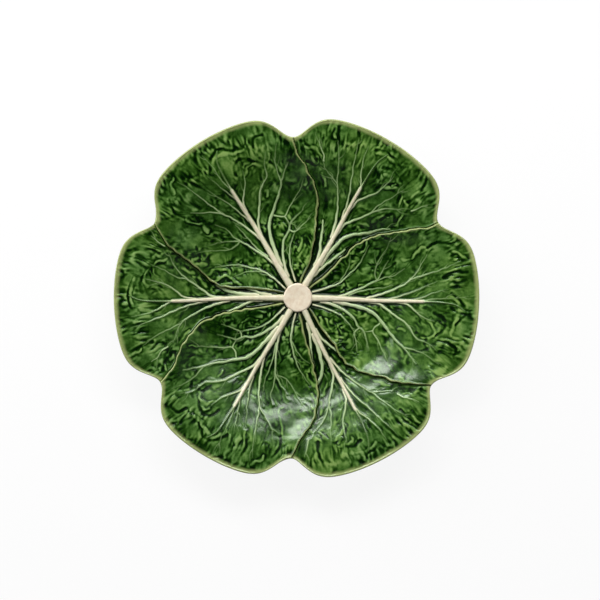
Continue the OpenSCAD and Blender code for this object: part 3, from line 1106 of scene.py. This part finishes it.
@dataclass(frozen=True)
class Quilt:
    """The puckered skin between the veins: ladders inside, streaks further out."""

    seed: int
    radius: float
    warp: float = 3.0
    warp_w: float = 8.0
    ladder: Point = (2.4, 4.2)
    drape: Point = (3.1, 4.3)
    streak: Point = (2.4, 5.2)
    side_shift: float = 30.0
    bow: float = 5.6
    slant: float = 0.45
    vigour_w: float = 12.0
    pit_w: float = 3.7
    inner_shares: Point = (0.36, 0.58)
    outer_shares: Point = (0.70, 0.84)
    tones: tuple[tuple[int, float, float, int], ...] = (
        (8, 0.42, 14, 1), (9, 0.28, 6, 2), (10, 0.08, 3.3, 1))

    def grain(self, key: int, a: Array, b: Array) -> Array:
        """Reads one of the quilt's own grains."""
        return Grain(self.seed + key).at(a, b)

    def folds(self, key: int, a: Array, b: Array) -> Array:
        """Gives puckers with creases between them.

        Args:
            key: Number of the grain.
            a: Coordinates across the folds, in fold widths.
            b: Coordinates along them.

        Returns:
            The soft puckers and the crisp ones, in two rows, both about -1 to 1.
        """
        cells = np.sqrt(self.grain(key + 20, a * 0.55 + 7, b * 0.55) ** 2 + 0.01)
        soft = np.tanh(1.8 * self.grain(key, a, b)) + 0.6 * cells - 0.2
        return np.array([soft, soft + 0.22 * self.grain(key + 40, a * 1.9 + 5, b * 1.9)])

    def laid(self, x: Array, y: Array) -> tuple[Array, Array, Array]:
        """Lays the quilt over a leaf.

        Args:
            x: Places along the leaf.
            y: Places across it.

        Returns:
            The soft puckers, the crisp ones and the slow drift of tone.
        """
        percent = self.radius / 100
        r = np.hypot(x, y)
        wx, wy = (self.warp * self.grain(key, x / self.warp_w, y / self.warp_w) for key in (1, 2))
        flow = x - self.bow * percent * np.sqrt(np.abs(y) / percent + 0.5) + wy
        along = np.abs(y) + self.slant * x + wx
        turn = np.arctan2(y, x) * self.radius + 0.4 * wy
        shift = np.sign(y) * self.side_shift
        outer = smooth_step(r / self.radius, *self.outer_shares)
        inner = 1 - smooth_step(r / self.radius, *self.inner_shares)
        between = (1 - inner) * (1 - outer)
        folds = inner * self.folds(3, along / self.ladder[0], flow / self.ladder[1] + shift)
        folds += between * self.folds(4, flow / self.drape[0] + shift, along / self.drape[1])
        folds += 1.2 * outer * self.folds(5, turn / self.streak[0], (r + wx) / self.streak[1])
        vigour = np.clip(0.85 + 1.7 * self.grain(7, x / self.vigour_w, y / self.vigour_w), 0.15, 1.7)
        soft, crisp = folds * vigour
        tone = sum(weight * self.grain(key, (x + pull * wx) / size, (y + pull * wy) / size)
                   for key, weight, size, pull in self.tones)
        pits = np.tanh(1.8 * self.grain(12, (x + 0.6 * wx) / self.pit_w, (y + 0.6 * wy) / self.pit_w))
        crisp = crisp + 0.5 * pits * vigour * (1 - 0.6 * outer)
        return soft * (0.42 + 0.58 * inner + 0.33 * outer), crisp, tone


class Part(NamedTuple):
    """What a part of the relief adds to the glaze's pooled depth and painted shadow, the height in
    millimetres and the clay.
    """

    pool: float = 0.0
    height: float = 0.0
    clay: float = 0.0


def summed(*parts: tuple[Part, Array]) -> Array:
    """Adds up parts of a relief, in rows for the pooled glaze and painted shadow, the height and the
    clay.
    """
    return sum(np.outer(part, marks) for part, marks in parts)


@dataclass
class Leaf(Piece):
    """One leaf: a closed slab whose upper face carries the whole relief.

    Pairs of shares and lengths are where something starts and ends, or its place and width.
    """

    number: int = 0
    cells: tuple[int, int] = (280, 320)
    coarse: int = 10
    rim_pack: float = 0.3
    side_pack: float = 0.35
    lip: float = 1.2
    sunk: float = 0.5
    gap: float = 0.1
    tucked_in: float = 0.2
    drawn_in: float = 0.35
    run_down: float = 4.9
    pucker: Part = Part(0.55, 0.05, 0.5)
    welt: Part = Part(0.95, 0.1, 0.6)
    welt_bank: Part = Part(-0.65)
    crease: Part = Part(-1.1, 0.0, -0.6)
    crease_bank: Part = Part(0.35)
    hairline: Part = Part(-0.8)
    groove: Part = Part(-1.7, -0.15, -0.6)
    # Lower leaves beside an upper leaf's edge: a real dip whose dark colour is partly pooled glaze and
    # partly painted shadow of that edge.
    tuck_pool_and_shadow: Part = Part(-1.3, -0.4)
    well: Part = Part(-0.8, -0.5)
    stem_pucker: float = 0.33
    thin_tone: float = 0.14
    shade_tone: float = 0.15
    vein_h: float = 0.55
    vein_full_h: float = 0.4
    bead_h: float = 0.3
    rim_bead_h: float = 0.08
    swell_h: float = 0.45
    swell_w: float = 18.0
    wave_h: float = 0.08
    wave_w: float = 7.0
    rib_reach: float = 12.0
    rib_foot_w: float = 0.1
    rib_bank: Point = (1.1, 0.95)
    astray: float = 0.75
    astray_w: float = 5.0
    true_run: Point = (2.0, 14.0)
    calm_strip: Point = (0.4, 2.6)
    clear_strip: Point = (0.0, 2.2)
    groove_strip: Point = (0.1, 0.7)
    tuck_pool_and_shadow_strip: Point = (1.0, 4.0)
    edge_bead: Point = (0.8, 0.6)
    rim_bead: Point = (1.0, 1.6)
    shade_band: Point = (5.0, 2.5)
    well_w: float = 5.0
    near_shares: Point = (0.28, 0.62)
    wall_shares: Point = (0.66, 0.125)
    thin_shares: Point = (0.62, 0.84)

    @property
    def kind(self) -> Kind:
        """Tells whether the leaf lies on top or tucks under."""
        return self.form.kind(self.number)

    @property
    def seed(self) -> int:
        """Gives the number that the leaf's chances start from."""
        return 40 * (self.number + 1)

    def grain(self, key: int, x: Array, y: Array, size: float) -> Array:
        """Reads one of the leaf's own grains, its hills of that size."""
        return Grain(self.seed + key).at(x / size, y / size)

    def unit(self) -> Mesh:
        """Builds the unit slab: a fine top, a wall and a coarse underside.

        Returns:
            A bmesh over the unit square, its top at z = 0 and its underside at z = -1.
        """
        unit = bmesh.new()
        along, across = self.cells
        bmesh.ops.create_grid(unit, x_segments=along, y_segments=across, size=0.5)
        draw_out(unit, [e for e in unit.edges if e.is_boundary], -1)
        under = bmesh.ops.create_grid(
            unit, x_segments=along // self.coarse, y_segments=across // self.coarse, size=0.5)["verts"]
        bmesh.ops.translate(unit, vec=(0, 0, -1), verts=under)
        chosen = set(under)
        outline = [e for e in unit.edges if e.is_boundary and chosen.issuperset(e.verts)]
        bmesh.ops.subdivide_edges(unit, edges=outline, cuts=self.coarse - 1)
        bmesh.ops.remove_doubles(unit, verts=[v for v in unit.verts if v.co.z < -0.5], dist=1e-4)
        bmesh.ops.recalc_face_normals(unit, faces=unit.faces)
        return unit

    def plan(self, u: Array, s: Array) -> tuple[Array, Array]:
        """Lays the unit square on the leaf's outline.

        Args:
            u: Shares from the stem to the rim.
            s: Shares from the right side to the left.

        Returns:
            The places along and across the leaf's axis.
        """
        form = self.form
        right, left = form.sides(self.number, np.array(form.radius))
        out = form.rim(right + (left - right) * s + form.leaf_angles[self.number]) - self.drawn_in
        start = form.inner_r - self.tucked_in
        r = start + u * (out - start)
        right, left = form.sides(self.number, r)
        spare = np.degrees(self.gap / 2 / r)
        angle = np.radians(right + spare + (left - right - 2 * spare) * s)
        return r * np.cos(angle), r * np.sin(angle)

    def lines(self, x: Array, y: Array) -> tuple[Field, Field, Field, Field]:
        """Draws the leaf's lines, each a little astray, so that no two leaves are alike.

        Args:
            x: Places along the leaf.
            y: Places across it.

        Returns:
            The fields of the veins, the creases, the hairlines and the welts.
        """
        radius, pattern = self.form.radius, PATTERNS[self.kind]
        wx, wy = (self.astray * self.grain(key, x, y, self.astray_w) for key in (33, 34))
        sure = 0.6 * smooth_step(np.hypot(x, y) - self.form.inner_r, *self.true_run)
        vx, vy = x + wx * sure, y + wy * sure
        veins = Field.drawn(pattern.veins + pattern.veinlets(self.seed), radius, vx, vy)
        veins.lay_over(self.rib_field(pattern, x, y))
        creases = Field.drawn(pattern.creases, radius, vx, vy)
        welts = Field.drawn(pattern.welts, radius, x + 2 * wx, y + 2 * wy)
        patchy = np.clip(0.9 + 0.9 * self.grain(31, x, y, 9), 0.15, 1.5)
        veins.groove = veins.groove * patchy
        for marks in (creases, welts):
            marks.ridge, marks.groove = marks.ridge * patchy, marks.groove * patchy
        return veins, creases, Field.drawn(pattern.trails(self.seed), radius, vx, vy), welts

    def margin(self, x: Array, y: Array, rim: Array, side: Array) -> Array:
        """Gives how far in from the pale strip's line a place is.

        Args:
            x: Places along the leaf.
            y: Places across it.
            rim: Their distances from the rim.
            side: Their distances from the nearer side.

        Returns:
            The distance that the glaze's strip is read from.
        """
        wide = 0.5 * self.grain(12, x, y, 6)
        if self.kind is Kind.LOWER:
            return rim + wide
        return np.minimum(rim + wide, side * 2.33 + 0.2 + 3 * wide)

    def relief(self, body: Body, x: Array, y: Array, below: Array) -> Array:
        """Adds up the veins, their grooves, the creases and the puckered skin.

        What the glaze needs of them is kept on the mesh.

        Args:
            body: The leaf's object.
            x: Places along the leaf.
            y: Places across it.
            below: Which of the places lie on the underside.

        Returns:
            The heights above the plain leaf.
        """
        form = self.form
        r = np.hypot(x, y)
        share = r / form.radius
        rim = form.rim(np.degrees(np.arctan2(y, x)) + form.leaf_angles[self.number]) - self.drawn_in - r
        side = np.maximum(0, form.side_inset(self.number, x, y))
        inset = np.maximum(0, np.minimum(side, rim))
        veins, creases, trails, welts = self.lines(x, y)
        soft, crisp, tone = Quilt(self.seed, form.radius).laid(x, y)
        near_stem = 1 - smooth_step(share, *self.near_shares)
        deeper = 0.25 + 0.75 * near_stem
        groove = veins.groove * deeper * smooth_step(veins.edge, *self.groove_strip)
        well = bell(r - form.inner_r, self.well_w)
        bead = self.bead_h * peak(inset, self.edge_bead) + self.rim_bead_h * peak(rim, self.rim_bead)
        # Painted shadow with pooled glaze: a dark band on lower leaves along the upper leaf's edge, which
        # is also a real dip.
        tuck_pool_and_shadow = np.zeros_like(r)
        if self.kind is Kind.LOWER:
            tuck_pool_and_shadow = bell(side, 0.5 + 2.2 * near_stem) * smooth_step(rim, *self.tuck_pool_and_shadow_strip) * deeper
        calm = 0.3 + 0.7 * smooth_step(veins.edge, *self.clear_strip)
        calm = calm * smooth_step(inset, *self.calm_strip)
        skin = 1 - 0.7 * np.minimum(1, np.maximum(creases.ridge, welts.ridge + welts.groove))
        wall = peak(share, self.wall_shares)
        crisp = crisp * (1 - 0.3 * wall)
        drawn = summed((self.welt, welts.ridge), (self.welt_bank, welts.groove),
                       (self.crease, creases.ridge), (self.crease_bank, creases.groove),
                       (self.hairline, trails.ridge))
        hollow = summed((self.groove, groove), (self.tuck_pool_and_shadow, tuck_pool_and_shadow), (self.well, well))
        pool = (self.pucker.pool + self.stem_pucker * near_stem) * crisp * skin + tone
        pool = (pool + drawn[0]) * calm + hollow[0]
        pool += self.thin_tone * smooth_step(share, *self.thin_shares)
        pool -= self.shade_tone * peak(inset, self.shade_band)
        height = (self.pucker.height * soft * skin + drawn[1]) * calm * (1 - 0.75 * wall) + hollow[1]
        height = height * (1 - np.minimum(1, veins.ridge / self.vein_full_h)) + self.vein_h * veins.ridge
        height += bead + self.swell_h * self.grain(11, x, y, self.swell_w) * calm
        height += self.wave_h * self.grain(13, x, y, self.wave_w) * calm
        clay = (self.pucker.clay * crisp * skin + drawn[2]) * calm * (1 - 0.85 * wall)
        clay = clay + (veins.ridge + hollow[2]) * (1 - 0.5 * wall)
        margin = np.where(below, self.run_down, self.margin(x, y, rim, side))
        self.note(body, pool=pool, vein=veins.edge, warm=veins.warm, vigour=veins.vigour, margin=margin,
                  skin=clay)
        bulge = np.maximum(0, self.lip - inset)
        return height - self.lip + np.sqrt(np.maximum(0, self.lip**2 - bulge**2))

    def rib_field(self, pattern: LeafPattern, x: Array, y: Array) -> Field:
        """Works out what the midrib does at each place of the leaf.

        Args:
            pattern: The leaf's lines.
            x: Places along the leaf.
            y: Places across it.

        Returns:
            The midrib's field.
        """
        made = Field.empty(len(x))
        made.add(Vein(pattern.rib, (0, 0), (1, 1), 1.0), self.form.radius, x, y, self.rib_reach)
        percent = np.hypot(x, y) / self.form.radius * 100
        half = pattern.at(pattern.rib_half_w, percent) * self.form.rib_shares[self.number]
        tall = pattern.at(pattern.rib_height, percent)
        away = made.edge
        made.edge = away - half
        made.ridge = tall * np.exp(-((away / (half + self.rib_foot_w)) ** 3))
        made.groove = 0.9 * tall * peak(made.edge, self.rib_bank)
        made.warm = 1 - smooth_step(percent, *pattern.rib_end)
        made.vigour = 1 - 0.8 * smooth_step(percent, *pattern.rib_tail)
        return made

    def shaped(self, body: Body, unit: Array) -> Array:
        """Shapes the leaf.

        Args:
            body: Its object.
            unit: The slab's vertices.

        Returns:
            The leaf's vertices, in millimetres.
        """
        form = self.form
        u, s = unit[:, 0] + 0.5, unit[:, 1] + 0.5
        u = (1 + self.rim_pack) * u - self.rim_pack * u * u
        s = (1 - self.side_pack) * s + self.side_pack * (1 - np.cos(math.pi * s)) / 2
        x, y = self.plan(u, s)
        below = unit[:, 2] < -0.5
        top = form.leaf_top(self.number, x, y) - self.sunk + self.relief(body, x, y, below)
        z = np.where(below, form.bed(np.hypot(x, y)) + form.slip_joint, top)
        return form.turned(self.number, x, y, z)


@dataclass
class Midrib(Piece):
    """One midrib: a rounded bar swept along the leaf's middle and rooted in it."""

    number: int = 0
    rings: int = 120
    facets: int = 20
    proud: float = 0.15
    rooted: float = 1.2
    sunk: float = 0.5
    swell_w: float = 6.0
    knot_w: float = 2.6
    green_w: float = 9.0
    foot_shares: Point = (0.72, 1.0)

    def unit(self) -> Mesh:
        """Builds the unit bar: a closed tube of radius 1 with one ring for each step of z.

        Returns:
            The bmesh.
        """
        unit = bmesh.new()
        bmesh.ops.create_circle(unit, cap_ends=True, radius=1.0, segments=self.facets)
        edges = list(unit.edges)
        for _ in range(self.rings):
            edges = draw_out(unit, edges, 1)
        bmesh.ops.contextual_create(unit, geom=edges)
        bmesh.ops.recalc_face_normals(unit, faces=unit.faces)
        return unit

    def grain(self, first: Seed, run: Array, across: Array) -> Array:
        """Reads one of the midrib's own grains."""
        return Grain(first + self.number).at(run, across + 3)

    def shaped(self, body: Body, unit: Array) -> Array:
        """Shapes the midrib.

        Args:
            body: Its object.
            unit: The bar's vertices.

        Returns:
            The midrib's vertices, in millimetres.
        """
        form, (side, up, step) = self.form, unit.T
        pattern = PATTERNS[form.kind(self.number)]
        line = Vein(pattern.rib, (1, 1), (1, 1)).line(form.radius)
        lengths = np.concatenate([[0], np.cumsum(np.hypot(*np.diff(line, axis=0).T))])
        run = step / self.rings * lengths[-1]
        (bx, by), (cx, cy), (dx, dy) = (
            [np.interp(run + shift, lengths, line[:, i]) for i in (0, 1)] for shift in (-0.5, 0, 0.5))
        ahead, across = (dx, dy) - np.array((bx, by))
        percent = np.hypot(cx, cy) / form.radius * 100
        waver = 1 + 0.07 * self.grain(Seed.RIB_SWELL, run / self.swell_w, side * 0.4)
        waver = waver + 0.12 * self.grain(Seed.RIB_KNOTS, run / self.knot_w, side)
        half = pattern.at(pattern.rib_half_w, percent) * form.rib_shares[self.number] * waver
        out = side * half / np.hypot(ahead, across)
        tall = pattern.at(pattern.rib_height, percent) + self.proud
        lift = np.where(up > 0, np.abs(up) ** 0.55 * tall, up * self.rooted)
        green = 0.26 + 0.16 * self.grain(Seed.RIB_GREEN, run / self.green_w, side)
        self.note(body, tip=green + (1 - green) * smooth_step(percent, *pattern.rib_end),
                  tail=0.95 * smooth_step(percent, *pattern.rib_tail),
                  foot=0.6 * smooth_step(np.abs(side), *self.foot_shares))
        seat = form.leaf_top(self.number, cx, cy) - self.sunk
        return form.turned(self.number, cx - across * out, cy + ahead * out, seat + lift)


@dataclass
class CutStem(Piece):
    """The cut stem: a soft-edged disc with a shallow, scratched cut."""

    rings: int = 26
    segments: int = 120
    edge_round: float = 1.3
    proud: float = 1.9
    drawn_in_share: float = 0.985
    scratch_h: float = 0.13
    hollow_h: float = 0.5
    hollow_w: float = 6.5
    face_depths: Point = (1.5, 0.2)
    foot_depths: Point = (0.7, 1.6)
    scratch_strip: Point = (0.5, 3.0)

    @property
    def radius(self) -> float:
        """Radius of the stem's solid."""
        return self.form.inner_r - self.form.side_gap

    @property
    def foot(self) -> float:
        """Height that the stem stands on."""
        return self.form.bed_z + self.form.slip_joint

    @property
    def top(self) -> float:
        """Height of the stem's cut face."""
        return self.foot + self.form.leaf_t + self.proud

    def unit(self) -> Mesh:
        """Builds the plain disc with its rounded edge.

        Returns:
            The bmesh.
        """
        inner = self.radius - self.edge_round
        profile = [(0.0, self.foot), (self.radius, self.foot)]
        for turn in (math.radians(a) for a in range(0, 91, 10)):
            profile.append((inner + self.edge_round * math.cos(turn),
                            self.top - self.edge_round * (1 - math.sin(turn))))
        profile += [(inner * (1 - k / self.rings), self.top) for k in range(1, self.rings + 1)]
        return spun(profile, self.segments)

    def shaped(self, body: Body, unit: Array) -> Array:
        """Hollows and scratches the cut and makes the outline a little uneven.

        Args:
            body: The stem's object.
            unit: The disc's vertices, in metres.

        Returns:
            The stem's vertices, in millimetres.
        """
        rows = unit / MM
        x, y, z = rows.T.copy()
        r, turn = np.hypot(x, y), np.arctan2(y, x)
        wobble = 1 + 0.02 * Grain(Seed.STEM_EDGE).at(np.cos(turn) * 2 + 9, np.sin(turn) * 2 + 9)
        high = smooth_step(self.top - z, *self.face_depths)
        cut = self.scratch_h * Grain(Seed.STEM_CUT).at((x * 0.9 - y * 0.5) / 2.2, (x + y) / 9)
        cut = cut * smooth_step(self.radius - r, *self.scratch_strip)
        rows[:, 2] += (cut - self.hollow_h * bell(r, self.hollow_w)) * high
        rows[:, :2] *= wobble[:, None] * self.drawn_in_share
        low = 0.4 * smooth_step(self.top - rows[:, 2], *self.foot_depths)
        self.note(body, tip=np.zeros(len(rows)), tail=np.zeros(len(rows)), foot=low)
        return rows


@dataclass
class DishBody(Piece):
    """The shell under the leaves, seen from below: scalloped, with soft leaf folds."""

    segments: int = 480
    steps: int = 60
    overhang: float = 0.6
    plain_t: float = 10.0
    fold_h: float = 0.7
    fold_w: float = 5.0
    fold_spread: float = 0.03
    seam_depth: float = 0.8
    seam_w: float = 3.5
    ripple_h: float = 0.35
    ripple_w: float = 9.0
    lip_h: float = 0.5
    bed_gap: float = 0.02
    rim_h: float = 0.2
    fold_start: Point = (76.0, 92.0)
    fold_end_shares: Point = (0.97, 1.0)
    rim_shares: Point = (0.94, 0.98)
    lip_shares: Point = (0.985, 1.0)
    scallop_shares: Point = (0.62, 1.0)
    thin_shares: Point = (0.98, 0.995)

    def unit(self) -> Mesh:
        """Builds a plain round plate, fine enough to shape."""
        run = [self.form.radius * k / self.steps for k in range(self.steps + 1)]
        return spun([(r, 0.0) for r in run] + [(r, self.plain_t) for r in reversed(run)], self.segments)

    def shaped(self, body: Body, unit: Array) -> Array:
        """Bends the plate into the shell, with its scalloped rim and leaf folds.

        Args:
            body: The shell's object.
            unit: The plain plate's vertices, in metres.

        Returns:
            The shell's vertices, in millimetres.
        """
        form, (x, y, z) = self.form, unit.T / MM
        share = np.hypot(x, y) / form.radius
        turn = np.degrees(np.arctan2(y, x))
        reach = form.rim(turn) - self.overhang - form.radius
        r = share * (form.radius + reach * smooth_step(share, *self.scallop_shares))
        fold = np.zeros(len(r))
        for number, angle in enumerate(form.leaf_angles):
            middle = np.radians(turn_from(turn, angle)) * r
            fold += self.fold_h * bell(middle, self.fold_w + self.fold_spread * r)
            seam = np.radians(turn_from(turn, form.edge_angle(number, np.maximum(r, 1.0)))) * r
            fold -= self.seam_depth * bell(seam, self.seam_w)
        ripple = self.ripple_h * Grain(Seed.SHELL_RIPPLE).at(x / self.ripple_w, y / self.ripple_w)
        clear = smooth_step(r, *self.fold_start) * (1 - smooth_step(share, *self.fold_end_shares))
        low = form.under(r) + self.lip_h * smooth_step(share, *self.lip_shares)
        low = low - 0.8 * (fold + ripple) * clear
        high = form.bed(r) - self.bed_gap + self.rim_h * smooth_step(share, *self.rim_shares)
        scale = r / np.maximum(share * form.radius, 1e-6)
        thin = 0.35 * smooth_step(share, *self.thin_shares) + 0.25 * np.clip(fold, 0, 1) * clear
        self.note(body, thin=thin, wiped=np.zeros(len(r)))
        return np.column_stack([x * scale, y * scale, np.where(z < self.plain_t / 2, low, high)])


@dataclass
class FootRing(Piece):
    """The turned foot ring, wiped bare where it stands."""

    segments: int = 240
    ring_w: float = 5.0
    edge_round: float = 1.1
    rooted: float = 0.1
    thin_band: Point = (1.3, 0.5)
    wiped_strip: Point = (0.4, 0.9)

    def unit(self) -> Mesh:
        """Builds the ring from the solid's own box.

        Returns:
            The bmesh.
        """
        low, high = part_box("foot_ring")
        outer = (high[0] - low[0]) / 2 / MM
        inner = outer - self.ring_w
        cuts = [(1 - math.cos(a), 1 - math.sin(a)) for a in (math.radians(d) for d in range(0, 91, 15))]
        profile = [(inner + self.edge_round * a, self.edge_round * b) for a, b in cuts]
        profile += [(outer - self.edge_round * b, self.edge_round * a) for a, b in cuts]
        profile += [(r, float(self.form.under(np.array(r))) + self.rooted) for r in (outer, inner)]
        return spun(profile, self.segments)

    def shaped(self, body: Body, unit: Array) -> Array:
        """Marks the glaze on the ring, and leaves its shape as it is.

        Args:
            body: The ring's object.
            unit: The ring's vertices, in metres.

        Returns:
            The same vertices, in millimetres.
        """
        z = unit[:, 2] / MM
        self.note(body, thin=peak(z, self.thin_band), wiped=1 - smooth_step(z, *self.wiped_strip))
        return unit / MM


@dataclass(frozen=True)
class PhotoCamera:
    """The camera straight above the plate, framed as the photograph is."""

    frame_px: float = 600.0
    plate_px: float = 367.0
    left_px: float = 3.5
    up_px: float = 2.0
    distance: float = 1.6
    sensor: float = 36.0

    def build(self) -> None:
        """Makes the camera and gives it to the scene."""
        low, high = CAD_BOX
        pixel = (high[0] - low[0]) / self.plate_px
        data = bpy.data.cameras.new("photo_camera")
        data.sensor_width = self.sensor
        data.lens = self.sensor * self.distance / (pixel * self.frame_px)
        body = linked("photo_camera", data)
        centre = (low + high) / 2
        body.location = (centre[0] + self.left_px * pixel, centre[1] - self.up_px * pixel,
                         high[2] + self.distance)
        bpy.context.scene.camera = body


@dataclass(frozen=True)
class Softbox:
    """One soft lamp that looks at the plate.

    Its azimuth and elevation are in degrees, its distance and size in metres and its power
    in watts.
    """

    name: str
    azimuth: float
    elevation: float
    distance: float
    size: Point
    power: float

    def build(self) -> None:
        """Adds the lamp."""
        lamp = bpy.data.lights.new(self.name, "AREA")
        lamp.shape = "RECTANGLE"
        lamp.size, lamp.size_y = self.size
        lamp.energy = self.power
        body = linked(self.name, lamp)
        a, e = math.radians(self.azimuth), math.radians(self.elevation)
        body.location = (self.distance * math.cos(a) * math.cos(e),
                         self.distance * math.sin(a) * math.cos(e), self.distance * math.sin(e))
        body.rotation_euler = (math.pi / 2 - e, 0, a + math.pi / 2)


@dataclass(frozen=True)
class Studio:
    """Softboxes round the plate, a dim sky and a pale floor that keeps the shadow.

    The floor ends far off in a low wall all round, so that low views have a pale ground too.
    """

    lamps: tuple[Softbox, ...] = (
        Softbox("key_softbox", 84, 46, 1.3, (1.5, 0.36), 17.0),
        Softbox("broad_softbox", 138, 31, 1.5, (1.7, 1.0), 18.5),
        Softbox("right_fill", 0, 30, 2.0, (2.6, 1.6), 2.2),
        Softbox("front_fill", -100, 30, 2.0, (2.6, 1.6), 2.6),
    )
    floor_r: float = 7.0
    wall_h: float = 1.3
    floor_colour: Colour = (0.92, 0.92, 0.92)
    floor_white: float = 0.9
    sky_span: Point = (0.25, 0.9)
    sky_strengths: Point = (0.04, 0.004)

    def sky(self) -> None:
        """Makes the sky: dim at the horizon and nearly dark overhead."""
        sheet = NodeSheet(bpy.data.worlds.new("studio_sky"))
        split = sheet.add("SeparateXYZ", {"Vector": sheet.add("TexCoord").outputs["Generated"]})
        strength = sheet.span(split.outputs["Z"], *self.sky_span, *self.sky_strengths, smooth=False)
        back = sheet.add("Background", {"Color": WHITE, "Strength": strength})
        sheet.add("OutputWorld", {"Surface": back.outputs["Background"]})
        bpy.context.scene.world = sheet.owner

    def paper(self) -> Material:
        """Makes the floor's finish, nearly white to the camera and in reflections.

        Returns:
            The material.
        """
        sheet = NodeSheet(bpy.data.materials.new("floor_paper"))
        path = sheet.add("LightPath").outputs
        seen = sheet.math("MAXIMUM", path["Is Camera Ray"], path["Is Glossy Ray"])
        seen = sheet.math("MAXIMUM", seen, path["Is Transmission Ray"])
        plain = sheet.add("BsdfDiffuse", {"Color": self.floor_colour}).outputs[0]
        white = sheet.add("Emission", {"Strength": 1.0}).outputs[0]
        share = sheet.math("MULTIPLY", seen, self.floor_white)
        return sheet.finished(sheet.add("MixShader", {0: share, 1: plain, 2: white}).outputs[0])

    def floor(self) -> None:
        """Makes the floor and the low wall where it ends."""
        unit = bmesh.new()
        bmesh.ops.create_circle(unit, cap_ends=True, radius=self.floor_r, segments=96)
        draw_out(unit, [e for e in unit.edges if e.is_boundary], self.wall_h)
        body = solid("floor", unit)
        body.data.materials.append(self.paper())

    def build(self) -> None:
        """Makes the lamps, the sky and the floor."""
        for lamp in self.lamps:
            lamp.build()
        self.sky()
        self.floor()


LEAF_NAMES = ("right", "upper_right", "upper_left", "left", "lower_left", "lower_right")


def main() -> None:
    """Builds the whole scene, piece by piece."""
    logging.basicConfig(level=logging.INFO, format="%(name)s: %(message)s")
    bpy.context.scene.view_settings.view_transform = "Standard"
    PhotoCamera().build()
    Studio().build()
    form = PlateForm()
    leaf_glaze = LeafGlaze().material()
    rib_glaze = RibGlaze().material()
    underside = UndersideGlaze().material()
    for number, name in enumerate(LEAF_NAMES):
        Leaf(f"{name}_leaf", form, (f"leaf_{name}", f"side_veins_{name}"), "leaf_glaze",
             number=number).build(leaf_glaze)
        Midrib(f"{name}_midrib", form, (f"midrib_{name}",), "rib_glaze", number=number).build(rib_glaze)
    CutStem("stem_disc", form, ("cut_stem",), "rib_glaze").build(rib_glaze)
    DishBody("dish_shell", form, ("dish_body",), "underside_glaze").build(underside)
    FootRing("standing_ring", form, ("foot_ring",), "underside_glaze").build(underside)


if __name__ == "__main__":
    main()
